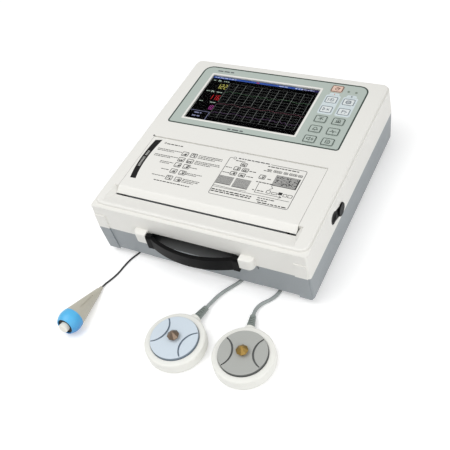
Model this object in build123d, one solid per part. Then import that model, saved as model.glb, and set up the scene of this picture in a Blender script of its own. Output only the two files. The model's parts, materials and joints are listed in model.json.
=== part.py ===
from build123d import *
import math
import os

# Fetal doppler monitor: a desk unit with a screen, a membrane key panel and a chart
# printer under a door, two ultrasound probes and a hand-held event marker on leads.
# Millimetres, +Z up, the floor at Z 0. Everything is drawn about the middle of the
# case (front towards -Y) and moved at the end so that the origin is the middle of
# the whole footprint.

# ---- Case ----
CASE_WIDTH = 296.0          # at the split line
CASE_DEPTH = 305.5          # at the split line
CASE_TOP = 92.5             # flat top above the floor
GROUND_CLEARANCE = 9.0      # underside above the floor
SPLIT_Z = 51.5              # where the two shells meet
CREASE_DROP = 3.7           # from the top down to where the walls begin
WALL = 2.8
BOTTOM_INSET_SIDE = 1.3     # draft of the lower shell
BOTTOM_INSET_END = 2.5
TOP_INSET_SIDE = 1.6        # draft of the upper shell
TOP_INSET_END = 0.3
FRONT_CORNER = 3.0
REAR_CORNER = 9.0
BOTTOM_EDGE = 1.6
SIDE_LEDGE = 1.8            # flat ledge between crease and plateau
FRONT_LEDGE = 5.6
BACK_LEDGE = 0.8
PLATEAU_CORNER = 12.0
PLATEAU_BACK_CORNER = 8.5
PLATEAU_EDGE = 2.2
SEAM = 0.1                  # clearance between parts of the case that only touch

# ---- Corner pads, front skirt and seam on the front face ----
PAD_WIDTH = 19.0            # with the case's front corner
PAD_TOP_Z = 74.0
PAD_PROUD = 1.2
SKIRT_RELIEF = 2.0
SKIRT_LEFT_RELIEF = 51.0    # length of the raised edge beside each pad
SKIRT_RIGHT_RELIEF = 49.0
SKIRT_DEPTH = 8.0

# ---- Feet and screws ----
FOOT_RADIUS = 9.0
FOOT_RECESS = 1.5
FOOT_INSET_SIDE = 30.0      # from the case's sides and ends
FOOT_INSET_END = 24.75
SCREW_HEAD_RADIUS = 2.9
SCREW_HEAD_HEIGHT = 2.2
SCREW_SHANK_RADIUS = 1.5
SCREW_CLEARANCE = 0.1
SCREW_BITE = 9.0            # screw length in the upper boss
BOSS_RADIUS = 4.2
SCREW_INSET_SIDE = 14.0
SCREW_INSET_END = 13.75
SCREW_MIDDLE_Y = 8.0

# ---- Key panel and screen ----
PANEL_INSET_LEFT = 24.0     # from the case's sides and back
PANEL_INSET_RIGHT = 25.2
PANEL_INSET_BACK = 11.75
PANEL_DEPTH = 126.4
PANEL_FRONT_CORNER = 4.0
PANEL_BACK_CORNER = 13.0
PANEL_THICKNESS = 1.0
WINDOW_INSET_LEFT = 18.9    # from the panel's edges and the first key column
WINDOW_INSET_RIGHT = 21.9
WINDOW_INSET_FRONT = 14.0
WINDOW_INSET_BACK = 17.3
WINDOW_RIM = 3.0
GLASS_THICKNESS = 2.0
GLASS_SUNK = 0.4
GLASS_CLEARANCE = 0.15
LCD_BORDER = 4.5
LCD_THICKNESS = 7.0
KEY_WIDTH = 16.0
KEY_LENGTH = 13.0
KEY_CORNER = 2.2
KEY_PROUD = 0.7
KEY_TRAVEL = 0.8
KEY_GAP = 0.35
KEY_FLANGE = 1.2
KEY_FLANGE_THICKNESS = 0.8
KEY_COLUMN_INSETS = (42.4, 18.4)        # from the panel's right edge
KEY_FIRST_INSET = 12.2      # from the panel's front edge
KEY_PITCH = 19.6
KEY_ROWS = 5
POWER_KEY_INSET = 12.2      # from the panel's back edge
BOARD_GAP = 0.4             # between a pressed key and the key board
BOARD_THICKNESS = 1.6
BOARD_POST_RADIUS = 2.0
BOARD_POST_ROWS = (0.5, 2.5, 4.6)
LIGHT_RADIUS = 1.6
LIGHT_INSETS = (25.8, 15.2)             # from the panel's right edge
LIGHT_INSET_BACK = 14.5
LIGHT_PROUD = 0.9

# ---- Printer door and bay ----
DOOR_CENTRE_X = -2.2
DOOR_MARGINS = 49.0         # case width beyond the door's, both sides together
DOOR_LENGTH = 93.4          # from the hinge to the turn of the lip
DOOR_THICKNESS = 2.6
DOOR_GAP = 0.5
DOOR_RIB_INSET = 20.6       # from the hinge to the first rib underneath
DOOR_RIB_PITCH = 22.0
DOOR_RIBS = 3
DOOR_RIB_HEIGHT = 2.5
DOOR_RIB_THICKNESS = 1.8
HINGE_INSET = 133.35        # from the case's front
HINGE_RADIUS = 2.5
HINGE_PIN_RADIUS = 1.25
HINGE_PIN_LENGTH = 13.0
RUNNING_FIT = 0.05
LIP_RUN = 8.1               # the lip's run towards the front
LIP_DROP = 6.3
SLOT_GAP = 2.7              # between the lip and the ramp
RAMP_RUN = 19.4
RAMP_SIDE = 7.0
BLOCK_WIDTH = 5.0           # hinge block beside the door
BLOCK_DEPTH = 10.0
TRAY_MARGINS = 33.0         # door width beyond the tray's, both sides together
TRAY_WALL = 2.0
TRAY_DEPTH = 39.7
TRAY_DROP = 6.8             # from the top down to the tray's flange
TRAY_FLANGE = 2.0
TRAY_FLANGE_MARGIN = 7.0
TRAY_INSET_BACK = 4.6       # from the hinge
TRAY_INSET_FRONT = 5.2      # past the turn of the lip
TRAY_SCREW_INSETS = (25.6, 75.6)        # from the hinge
TRAY_SCREW_BOSS = 3.5
TRAY_RIB_INSET = 16.0       # from the tray's back wall to the first rib
TRAY_RIB_PITCH = 20.0
TRAY_RIBS = 3
TRAY_RIB_HEIGHT = 0.8
TRAY_RIB_THICKNESS = 1.6
PAPER_STOP_GAP = 7.5        # from the roller's axis
PAPER_STOP_THICKNESS = 1.5
PAPER_STOP_HEIGHT = 18.0
PAPER_LIFT = 0.2            # above the ribs
PAPER_HEIGHT = 14.0
PAPER_CLEARANCE = 1.5

# ---- Paper drive ----
ROLLER_INSET = 4.8          # behind the turn of the lip
ROLLER_DROP = 15.5          # below the top
ROLLER_RADIUS = 7.5
ROLLER_SHAFT_RADIUS = 2.5
ROLLER_END_GAP = 1.0
GEAR_MODULE = 0.75
ROLLER_TEETH = 28
PINION_TEETH = 14
GEAR_WIDTH = 4.0
GEAR_OFFSET = 1.5           # from the tray wall to the gear
TOOTH_SHARE = 0.42          # tooth thickness in tooth pitches, at the pitch circle
MOTOR_ANGLE = -60.0         # from the roller to the motor, degrees above +Y
MOTOR_RADIUS = 12.5
MOTOR_LENGTH = 20.0
MOTOR_EAR_SPAN = 32.0
MOTOR_POST_RADIUS = 2.6
MOTOR_SHAFT_RADIUS = 1.0
MOTOR_PLATE = 2.0
HEAD_DEPTH = 8.0
HEAD_GAP = 0.3

# ---- Door release on the right wall ----
RELEASE_HEAD_RADIUS = 8.8
RELEASE_HEAD_PLACE = (30.6, 30.5)       # in front of the hinge and below the top
RELEASE_TAIL_RADIUS = 8.0
RELEASE_TAIL_PLACE = (52.1, 23.5)
RELEASE_WAIST = 0.86                    # of the tail's radius
RELEASE_SUNK = 0.3
RELEASE_PROUD = 1.2         # of the head, past the case's widest line
RELEASE_EDGE = 1.0
RELEASE_GAP = 0.4
RELEASE_STEM = 2.0          # behind the flange when pressed
RELEASE_FLANGE = 1.2
RELEASE_FLANGE_THICKNESS = 1.5
RELEASE_TRAVEL = 3.0
THUMB_RADIUS = 16.0
THUMB_DEPTH = 1.4

# ---- Carrying handle ----
HANDLE_CENTRE_X = -2.4
HANDLE_SPAN = 127.5         # over both lugs
HANDLE_LUG = 8.0
HANDLE_HEIGHT = 19.5
HANDLE_THICKNESS = 5.0
HANDLE_BOW = 14.0
HANDLE_BOTTOM_Z = 45.0
HANDLE_STANDOFF = 5.2       # pivot axis to front face
HANDLE_LUG_RISE = 1.5
TRUNNION_RADIUS = 2.5
TRUNNION_LENGTH = 6.0
EAR_GAP = 0.6
EAR_LEFT_WIDTH = 18.0
EAR_RIGHT_WIDTH = 17.5
EAR_TOP_Z = 67.0
EAR_DEPTH = 9.0
EAR_CORNER = 7.0
NICK_WIDTH = 2.0            # in the lower shell beside the right ear
NICK_HEIGHT = 5.0
NICK_DEPTH = 1.5
NICK_GAP = 1.0

# ---- Rear panel ----
REAR_PANEL_INSET = 3.15     # from the case's back
REAR_PANEL_THICKNESS = 3.0
REAR_PANEL_INSET_LEFT = 36.0            # from the case's sides
REAR_PANEL_INSET_RIGHT = 20.0
REAR_PANEL_RISE = 8.0       # above the underside
REAR_PANEL_DROP = 4.5       # below the split
PROBE_SOCKET_INSETS = (54.0, 84.0)      # from the panel's left end
MARKER_SOCKET_INSET = 24.0
PROBE_SOCKET_BORE = 6.0
MARKER_SOCKET_BORE = 4.0
SOCKET_WALL = 1.8
SOCKET_FLANGE = 2.6
SOCKET_FLANGE_THICKNESS = 1.6
SOCKET_DEPTH = 11.0
INLET_INSET = 32.0          # from the panel's right end
INLET_WIDTH = 25.0
INLET_HEIGHT = 17.0
INLET_WALL = 2.0
INLET_DEPTH = 17.0
INLET_FLANGE = 3.5
BLADE_PLACES = ((-7.0, -2.0), (0.0, 2.0), (7.0, -2.0))
BLADE_INSET = 5.0
BLADE_SIZE = (2.0, 4.0)
POST_GAP = 34.0             # from the inlet's middle
POST_RADIUS = 3.0
POST_LENGTH = 10.0
POST_NUT = 5.5
POST_NUT_THICKNESS = 2.0

# ---- Inside ----
MAIN_BOARD_INSET = 22.0     # from the case's left side
MAIN_BOARD_GAP = 3.0        # to the power supply
MAIN_BOARD_DEPTH = 110.0
MAIN_BOARD_INSET_BACK = 28.6            # from the rear panel
MAIN_BOARD_LIFT = 10.2      # above the case's floor
MAIN_BOARD_THICKNESS = 1.6
MAIN_BOARD_POST_INSET = 6.0
MAIN_BOARD_POST_RADIUS = 3.0
MAIN_BOARD_PARTS = ((-50.0, 10.0, 30.0, 30.0, 3.0),    # middle, width, depth, height
                    (0.0, -15.0, 24.0, 24.0, 3.0),
                    (45.0, 20.0, 34.0, 20.0, 9.0),
                    (50.0, -30.0, 18.0, 30.0, 12.0))
SUPPLY_SIZE = (62.0, 92.0, 30.0)
SUPPLY_INSET = 19.0         # from the case's right side
SUPPLY_INSET_BACK = 51.6    # from the rear panel
BATTERY_SIZE = (96.0, 56.0, 22.0)
BATTERY_INSET = 38.0        # from the case's left side
BATTERY_INSET_FRONT = 52.75
SPEAKER_RADIUS = 26.0
SPEAKER_DEPTH = 18.0
SPEAKER_INSET = 86.0        # from the case's right side to its middle
SPEAKER_INSET_FRONT = 76.75
SPEAKER_RIM = 3.0
SPEAKER_MAGNET_RADIUS = 14.0
SPEAKER_BASKET = 8.0        # depth of the cone's basket
GRILLE_SLOTS = 7
GRILLE_PITCH = 5.2
GRILLE_SLOT_WIDTH = 2.2
GRILLE_RADIUS = 20.0

# ---- Ultrasound probes ----
PROBE_CENTRES = ((15.6, -257.2), (100.8, -249.0))
PROBE_LEAD_ANGLES = (80.5, 105.3)
PROBE_RADIUS = 37.2
PROBE_BASE_RADIUS = 35.6
PROBE_BASE_HEIGHT = 2.6
PROBE_SIDE_TOP = 14.4
PROBE_SHOULDER_RADIUS = 35.0
PROBE_SHOULDER_Z = 16.6
PROBE_RIM_Z = 16.9
DISC_RADIUS = 28.8
DISC_GAP = 0.4
DISC_SEAT_Z = 14.6
DISC_TOP = 20.8
DISC_EDGE = 0.8
CRESCENT_OFFSET = 33.0
CRESCENT_RADIUS = 22.0
CRESCENT_WIDTH = 2.4
CRESCENT_DEPTH = 1.6
STUD_FACETS = 8
STUD_FOOT_RADIUS = 4.8
STUD_RADIUS = 7.4
STUD_TIP_RADIUS = 1.6
STUD_WAIST_HEIGHT = 4.4
STUD_HEIGHT = 10.6
BOOT_START = 34.6
BOOT_LENGTH = 24.6
BOOT_Z = 8.6
BOOT_TILT = 8.0
BOOT_BASE_RADIUS = 5.6
BOOT_TIP_RADIUS = 3.6
BOOT_RINGS = 5
SPOUT_RADIUS = 6.9
SPOUT_REACH = 39.6
LEAD_RADIUS = 2.25

# ---- Event marker ----
MARKER_TAIL = (-122.6, -212.4)
MARKER_HEADING = -91.3      # degrees from +X, tail to button
MARKER_FERRULE_RADIUS = 2.4
MARKER_FERRULE = 6.0
MARKER_NECK_RADIUS = 3.8
MARKER_BODY_END = 59.0
MARKER_BODY_RADIUS = 14.2
COLLAR_BACK_RADIUS = 14.5   # the edge the marker lies on
COLLAR_RADIUS = 15.0
COLLAR_WIDEST = 63.0
COLLAR_END = 76.0
COLLAR_MOUTH_RADIUS = 11.6
COLLAR_GAP = 0.3
SWITCH_DEPTH = 14.0
BUTTON_RADIUS = 6.2
BUTTON_GAP = 0.3
BUTTON_PROUD = 5.0
BUTTON_TRAVEL = 2.5
SWITCH_BASE = 2.0
MARKER_LEAD_RADIUS = 1.2

# ---- Lead storage coils and plugs ----
COIL_ROWS = 4               # turns on each other
COIL_TURN_RADIUS = 23.0     # middle of the turns, probe leads
COIL_COLUMNS = 4            # turns beside each other
COIL_X = (-10.0, 72.0)
COIL_BEHIND = 34.25         # from the case's back to the coil's middle
MARKER_COIL_TURN_RADIUS = 14.0
MARKER_COIL_COLUMNS = 5
MARKER_COIL_X = -96.0
MARKER_COIL_BEHIND = 23.25
COIL_TAIL_GAP = 1.0         # between a coil and the plug beside it
PLUG_LENGTH = 30.0
PLUG_RADIUS = 6.75
PLUG_NOSE = 9.0
MARKER_PLUG_LENGTH = 26.0
MARKER_PLUG_RADIUS = 4.6
MARKER_PLUG_NOSE = 7.0
PLUG_FIT = 0.15

# ---- Worked out from the sizes above ----
SKIN_Z = CASE_TOP - WALL
CREASE_Z = CASE_TOP - CREASE_DROP
FLOOR_Z = GROUND_CLEARANCE + WALL
CASE_LEFT = -CASE_WIDTH / 2
CASE_RIGHT = CASE_WIDTH / 2
CASE_FRONT = -CASE_DEPTH / 2
CASE_BACK = CASE_DEPTH / 2
PAD_INNER_X = CASE_RIGHT - PAD_WIDTH
PANEL_LEFT = CASE_LEFT + PANEL_INSET_LEFT
PANEL_RIGHT = CASE_RIGHT - PANEL_INSET_RIGHT
PANEL_BACK = CASE_BACK - PANEL_INSET_BACK
PANEL_FRONT = PANEL_BACK - PANEL_DEPTH
KEY_COLUMNS = [PANEL_RIGHT - inset for inset in KEY_COLUMN_INSETS]
KEY_FIRST_Y = PANEL_FRONT + KEY_FIRST_INSET
POWER_KEY_Y = PANEL_BACK - POWER_KEY_INSET
LIGHT_X = [PANEL_RIGHT - inset for inset in LIGHT_INSETS]
LIGHT_Y = PANEL_BACK - LIGHT_INSET_BACK
WINDOW_LEFT = PANEL_LEFT + WINDOW_INSET_LEFT
WINDOW_RIGHT = KEY_COLUMNS[0] - WINDOW_INSET_RIGHT
WINDOW_FRONT = PANEL_FRONT + WINDOW_INSET_FRONT
WINDOW_BACK = PANEL_BACK - WINDOW_INSET_BACK
DOOR_WIDTH = CASE_WIDTH - DOOR_MARGINS
HINGE_Y = CASE_FRONT + HINGE_INSET
DOOR_FRONT_Y = HINGE_Y - DOOR_LENGTH
LIP_TIP_Y = DOOR_FRONT_Y - LIP_RUN
SLOT_Z = CASE_TOP - LIP_DROP
SLOT_FRONT_Y = LIP_TIP_Y - SLOT_GAP
RAMP_FRONT_Y = SLOT_FRONT_Y - RAMP_RUN
TRAY_WIDTH = DOOR_WIDTH - TRAY_MARGINS
TRAY_FLANGE_TOP = CASE_TOP - TRAY_DROP
TRAY_FLOOR_Z = TRAY_FLANGE_TOP - TRAY_DEPTH
TRAY_BACK_Y = HINGE_Y - TRAY_INSET_BACK
TRAY_FRONT_Y = DOOR_FRONT_Y - TRAY_INSET_FRONT
ROLLER_Y = DOOR_FRONT_Y + ROLLER_INSET
ROLLER_Z = CASE_TOP - ROLLER_DROP
PAPER_STOP_Y = ROLLER_Y + PAPER_STOP_GAP
RELEASE_HEAD = (HINGE_Y - RELEASE_HEAD_PLACE[0], CASE_TOP - RELEASE_HEAD_PLACE[1],
                RELEASE_HEAD_RADIUS)
RELEASE_TAIL = (HINGE_Y - RELEASE_TAIL_PLACE[0], CASE_TOP - RELEASE_TAIL_PLACE[1],
                RELEASE_TAIL_RADIUS)
REAR_PANEL_Y = CASE_BACK - REAR_PANEL_INSET
REAR_PANEL_LEFT = CASE_LEFT + REAR_PANEL_INSET_LEFT
REAR_PANEL_RIGHT = CASE_RIGHT - REAR_PANEL_INSET_RIGHT
REAR_PANEL_BOTTOM = GROUND_CLEARANCE + REAR_PANEL_RISE
REAR_PANEL_TOP = SPLIT_Z - REAR_PANEL_DROP
SOCKET_Z = (REAR_PANEL_BOTTOM + REAR_PANEL_TOP) / 2
PROBE_SOCKET_X = [REAR_PANEL_LEFT + inset for inset in PROBE_SOCKET_INSETS]
MARKER_SOCKET_X = REAR_PANEL_LEFT + MARKER_SOCKET_INSET
INLET_X = REAR_PANEL_RIGHT - INLET_INSET
POST_X = INLET_X - POST_GAP
SUPPLY_CENTRE = (CASE_RIGHT - SUPPLY_INSET - SUPPLY_SIZE[0] / 2,
                 REAR_PANEL_Y - SUPPLY_INSET_BACK - SUPPLY_SIZE[1] / 2)
BATTERY_CENTRE = (CASE_LEFT + BATTERY_INSET + BATTERY_SIZE[0] / 2,
                  CASE_FRONT + BATTERY_INSET_FRONT + BATTERY_SIZE[1] / 2)
SPEAKER_CENTRE = (CASE_RIGHT - SPEAKER_INSET, CASE_FRONT + SPEAKER_INSET_FRONT)
MAIN_BOARD_LEFT = CASE_LEFT + MAIN_BOARD_INSET
MAIN_BOARD_RIGHT = SUPPLY_CENTRE[0] - SUPPLY_SIZE[0] / 2 - MAIN_BOARD_GAP
MAIN_BOARD = (MAIN_BOARD_RIGHT - MAIN_BOARD_LEFT, MAIN_BOARD_DEPTH)
MAIN_BOARD_CENTRE = ((MAIN_BOARD_LEFT + MAIN_BOARD_RIGHT) / 2,
                     REAR_PANEL_Y - MAIN_BOARD_INSET_BACK - MAIN_BOARD_DEPTH / 2)
MAIN_BOARD_Z = FLOOR_Z + MAIN_BOARD_LIFT
PLATEAU_HALF_X = CASE_WIDTH / 2 - TOP_INSET_SIDE - SIDE_LEDGE
PLATEAU_FRONT = CASE_FRONT + TOP_INSET_END + FRONT_LEDGE
PLATEAU_BACK = CASE_BACK - TOP_INSET_END - BACK_LEDGE
DOOR_LEFT = DOOR_CENTRE_X - DOOR_WIDTH / 2
DOOR_RIGHT = DOOR_CENTRE_X + DOOR_WIDTH / 2
BAY_BACK_Y = HINGE_Y + HINGE_RADIUS + DOOR_GAP
HINGE_Z = CASE_TOP - HINGE_RADIUS
PANEL_FLOOR_Z = CASE_TOP - PANEL_THICKNESS
KEY_FLANGE_TOP = SKIN_Z - KEY_GAP
BOARD_TOP = KEY_FLANGE_TOP - KEY_FLANGE_THICKNESS - KEY_TRAVEL - BOARD_GAP
TRAY_LEFT = DOOR_CENTRE_X - TRAY_WIDTH / 2
TRAY_RIGHT = DOOR_CENTRE_X + TRAY_WIDTH / 2
GEAR_X = TRAY_RIGHT + TRAY_WALL + GEAR_OFFSET
GEAR_DISTANCE = GEAR_MODULE * (ROLLER_TEETH + PINION_TEETH) / 2
MOTOR_Y = ROLLER_Y + GEAR_DISTANCE * math.cos(math.radians(MOTOR_ANGLE))
MOTOR_Z = ROLLER_Z + GEAR_DISTANCE * math.sin(math.radians(MOTOR_ANGLE))
MOTOR_FACE_X = GEAR_X + GEAR_WIDTH + GEAR_OFFSET
PIVOT_Y = -CASE_DEPTH / 2 - HANDLE_STANDOFF
PIVOT_Z = HANDLE_BOTTOM_Z + HANDLE_HEIGHT - HANDLE_STANDOFF + HANDLE_LUG_RISE + EAR_GAP
POST_TIP_Y = REAR_PANEL_Y + POST_NUT_THICKNESS + POST_LENGTH
FOOTPRINT_FRONT = PROBE_CENTRES[0][1] - PROBE_RADIUS
ORIGIN_Y = (FOOTPRINT_FRONT + POST_TIP_Y) / 2
TO_ORIGIN = Pos(0, -ORIGIN_Y, 0)
COIL_WIDTH = COIL_COLUMNS * 2 * LEAD_RADIUS
COIL_HEIGHT = COIL_ROWS * 2 * LEAD_RADIUS
COIL_CENTRES = [(x, CASE_BACK + COIL_BEHIND) for x in COIL_X]
MARKER_COIL_WIDTH = MARKER_COIL_COLUMNS * 2 * MARKER_LEAD_RADIUS
MARKER_COIL_HEIGHT = COIL_ROWS * 2 * MARKER_LEAD_RADIUS
MARKER_COIL_CENTRE = (MARKER_COIL_X, CASE_BACK + MARKER_COIL_BEHIND)


# ---- Helpers ----
def box_between(low, high):
    """A box given by two opposite corners."""
    size = [high[i] - low[i] for i in range(3)]
    middle = [(high[i] + low[i]) / 2 for i in range(3)]
    return Pos(*middle) * Box(*size)


def case_plan(width, depth, front_corner, rear_corner, z):
    """A level outline of the case with its own front and rear corner radii."""
    plan = Rectangle(width, depth)
    plan = fillet(plan.vertices().group_by(Axis.Y)[0], front_corner)
    plan = fillet(plan.vertices().group_by(Axis.Y)[-1], rear_corner)
    return Pos(0, 0, z) * plan


def case_block(low, high, inset):
    """A drafted block between two levels; low and high are (side, end, z) insets."""
    plans = []
    for side, end, z in (low, high):
        plans.append(case_plan(CASE_WIDTH - 2 * (side + inset), CASE_DEPTH - 2 * (end + inset),
                               FRONT_CORNER - min(inset, FRONT_CORNER - 1),
                               REAR_CORNER - inset, z))
    return loft(plans, ruled=True)


def rounded_plate(left, right, front, back, front_corner, back_corner, bottom, top):
    """A level plate with one radius at its front corners and one at its back ones."""
    plan = Rectangle(right - left, back - front)
    plan = fillet(plan.vertices().group_by(Axis.Y)[0], front_corner)
    plan = fillet(plan.vertices().group_by(Axis.Y)[-1], back_corner)
    return Pos((left + right) / 2, (front + back) / 2, bottom) * extrude(plan, top - bottom)


def upright(radius, height, x, y, z):
    """A standing cylinder on z."""
    return Pos(x, y, z + height / 2) * Cylinder(radius, height)


def along_x(radius, length, x, y, z):
    """A cylinder along X that starts at x."""
    return Pos(x + length / 2, y, z) * Rot(0, 90, 0) * Cylinder(radius, length)


def along_y(radius, length, x, y, z):
    """A cylinder along Y that starts at y."""
    return Pos(x, y + length / 2, z) * Rot(90, 0, 0) * Cylinder(radius, length)


def gear(teeth, width, bore):
    """A spur gear about Z with straight-flanked teeth, one tooth towards +X."""
    pitch_radius = GEAR_MODULE * teeth / 2
    tip_radius = pitch_radius + 0.9 * GEAR_MODULE
    root_radius = pitch_radius - 1.2 * GEAR_MODULE
    pitch_angle = 2 * math.pi / teeth
    flanks = ((root_radius, 0.62), (pitch_radius, TOOTH_SHARE), (tip_radius, 0.2))
    outline = []
    for tooth in range(teeth):
        middle = tooth * pitch_angle
        for radius, share in flanks:
            angle = middle - share * pitch_angle / 2
            outline.append((radius * math.cos(angle), radius * math.sin(angle)))
        for radius, share in reversed(flanks):
            angle = middle + share * pitch_angle / 2
            outline.append((radius * math.cos(angle), radius * math.sin(angle)))
    blank = make_face(Polyline(*outline, close=True))
    return extrude(blank - Circle(bore), width)


def ring(outer, inner, height):
    """A flat ring on Z 0."""
    return extrude(Circle(outer) - Circle(inner), height)


# ---- Case shells ----
def screw_places():
    """The plan positions of the six case screws."""
    places = []
    for side in (-1, 1):
        for y in (CASE_FRONT + SCREW_INSET_END, SCREW_MIDDLE_Y, CASE_BACK - SCREW_INSET_END):
            places.append((side * (CASE_RIGHT - SCREW_INSET_SIDE), y))
    return places


def foot_places():
    """The plan positions of the four feet."""
    half_x = CASE_RIGHT - FOOT_INSET_SIDE
    half_y = CASE_BACK - FOOT_INSET_END
    return [(i * half_x, j * half_y) for i in (-1, 1) for j in (-1, 1)]


LOWER_ENDS = ((BOTTOM_INSET_SIDE, BOTTOM_INSET_END, GROUND_CLEARANCE), (0, 0, SPLIT_Z))
UPPER_ENDS = ((0, 0, SPLIT_Z), (TOP_INSET_SIDE, TOP_INSET_END, CREASE_Z))


def corner_pads(block):
    """The raised pads at the two front corners, cut from the block moved forward."""
    pads = Part()
    for side in (-1, 1):
        near, far = sorted((side * PAD_INNER_X, side * (CASE_WIDTH / 2 - FRONT_CORNER)))
        zone = box_between((near, -CASE_DEPTH / 2 - 2 * PAD_PROUD, 0),
                           (far, -CASE_DEPTH / 2 + FRONT_CORNER, PAD_TOP_Z))
        pads += (Pos(0, -PAD_PROUD, 0) * block) & zone
    return pads


def handle_ears():
    """The two blocks of the upper shell that carry the handle's trunnions."""
    ears = []
    half = HANDLE_SPAN / 2 + EAR_GAP
    front = -CASE_DEPTH / 2 - EAR_DEPTH
    back = -CASE_DEPTH / 2 + WALL / 2
    for side, width in ((-1, EAR_LEFT_WIDTH), (1, EAR_RIGHT_WIDTH)):
        inner = HANDLE_CENTRE_X + side * half
        outer = inner + side * width
        left, right = sorted((inner, outer))
        ear = box_between((left, front, SPLIT_Z), (right, back, EAR_TOP_Z))
        outside = ear.edges().filter_by(Axis.Z).group_by(Axis.Y)[0].sort_by(Axis.X)
        ear = fillet(outside[-1 if side > 0 else 0], EAR_CORNER)
        ear = fillet(ear.faces().sort_by(Axis.Z)[-1].edges().group_by(Axis.Y)[0], 1.5)
        ears.append(ear)
    return ears


def trough(extra):
    """The sloping dish in front of the paper slot, grown by extra all round."""
    back = DOOR_FRONT_Y + extra
    plans = []
    for grow, front, z in ((DOOR_GAP + extra, SLOT_FRONT_Y - extra, SLOT_Z - extra),
                           (RAMP_SIDE + extra, RAMP_FRONT_Y - extra, CASE_TOP)):
        width = DOOR_WIDTH + 2 * grow
        plans.append(Pos(DOOR_CENTRE_X, (front + back) / 2, z) * Rectangle(width, back - front))
    return loft(plans, ruled=True)


def release_outline(grow):
    """The outline of the door release on the YZ plane: a head, a waist and a tail."""
    outline = Sketch()
    for y, z, radius in (RELEASE_HEAD, RELEASE_TAIL):
        outline += Pos(y, z) * Circle(radius + grow)
    head_y, head_z, head_radius = RELEASE_HEAD
    tail_y, tail_z, tail_radius = RELEASE_TAIL
    length = math.hypot(tail_y - head_y, tail_z - head_z)
    tilt = math.degrees(math.atan2(tail_z - head_z, tail_y - head_y))
    waist = Pos((head_y + tail_y) / 2, (head_z + tail_z) / 2) * Rot(0, 0, tilt)
    outline += waist * Rectangle(length, 2 * (tail_radius + grow) * RELEASE_WAIST)
    return outline


def release_block(x, length, grow):
    """The release outline as a block from x towards +X."""
    return extrude(Plane.YZ.offset(x) * release_outline(grow), length)


def make_upper_case():
    outer = case_block(*UPPER_ENDS, 0)
    shell = outer + corner_pads(outer)
    plateau = rounded_plate(-PLATEAU_HALF_X, PLATEAU_HALF_X, PLATEAU_FRONT, PLATEAU_BACK,
                            PLATEAU_CORNER, PLATEAU_BACK_CORNER, SPLIT_Z + WALL, CASE_TOP)
    plateau = fillet(plateau.faces().sort_by(Axis.Z)[-1].edges(), PLATEAU_EDGE)
    body = outer + plateau
    shell += plateau
    for ear in handle_ears():
        shell += ear
    hollow = case_block((0, 0, SPLIT_Z), (TOP_INSET_SIDE, TOP_INSET_END, CREASE_Z - WALL), WALL)
    hollow += rounded_plate(-PLATEAU_HALF_X + WALL, PLATEAU_HALF_X - WALL,
                            PLATEAU_FRONT + WALL, PLATEAU_BACK - WALL,
                            PLATEAU_CORNER - WALL, PLATEAU_BACK_CORNER - WALL, SPLIT_Z, SKIN_Z)
    shell -= hollow - trough(WALL)
    shell -= trough(0)
    shell -= box_between((DOOR_LEFT - DOOR_GAP, SLOT_FRONT_Y, SPLIT_Z),
                         (DOOR_RIGHT + DOOR_GAP, BAY_BACK_Y, CASE_TOP + WALL))
    for side, x in ((-1, DOOR_LEFT - DOOR_GAP), (1, DOOR_RIGHT + DOOR_GAP)):
        left, right = sorted((x, x + side * BLOCK_WIDTH))
        shell += box_between((left, HINGE_Y - BLOCK_DEPTH / 2, TRAY_FLANGE_TOP),
                             (right, HINGE_Y + BLOCK_DEPTH / 2, SKIN_Z))
        bore_length = BLOCK_WIDTH - 1
        start = x if side > 0 else x - bore_length
        shell -= along_x(HINGE_PIN_RADIUS + RUNNING_FIT, bore_length, start, HINGE_Y, HINGE_Z)
    for x, y in screw_places():
        boss = upright(BOSS_RADIUS, SKIN_Z - SPLIT_Z, x, y, SPLIT_Z)
        boss -= upright(SCREW_SHANK_RADIUS + SCREW_CLEARANCE, SCREW_BITE + 1, x, y, SPLIT_Z)
        shell += boss & body
    for x, y in flange_screw_places():
        shell += upright(TRAY_SCREW_BOSS, SKIN_Z - TRAY_FLANGE_TOP, x, y, TRAY_FLANGE_TOP)
    for x, y in board_boss_places():
        shell += upright(BOARD_POST_RADIUS, SKIN_Z - BOARD_TOP, x, y, BOARD_TOP)
    shell -= panel_recess()
    shell -= box_between((WINDOW_LEFT, WINDOW_FRONT, SPLIT_Z), (WINDOW_RIGHT, WINDOW_BACK, CASE_TOP + 1))
    for x, y in key_places():
        shell -= key_block(x, y, KEY_GAP, SKIN_Z - 1, CASE_TOP + 1)
    for x in LIGHT_X:
        shell -= upright(LIGHT_RADIUS + 0.1, 2 * WALL, x, LIGHT_Y, SKIN_Z - 1)
    shell -= release_block(CASE_WIDTH / 2 - 3 * WALL, 4 * WALL, RELEASE_GAP)
    for side in (-1, 1):
        x = HANDLE_CENTRE_X + side * HANDLE_SPAN / 2
        depth = EAR_GAP + TRUNNION_LENGTH + 1
        start = x if side > 0 else x - depth
        shell -= along_x(TRUNNION_RADIUS + RUNNING_FIT, depth, start, PIVOT_Y, PIVOT_Z)
    return shell


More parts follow.
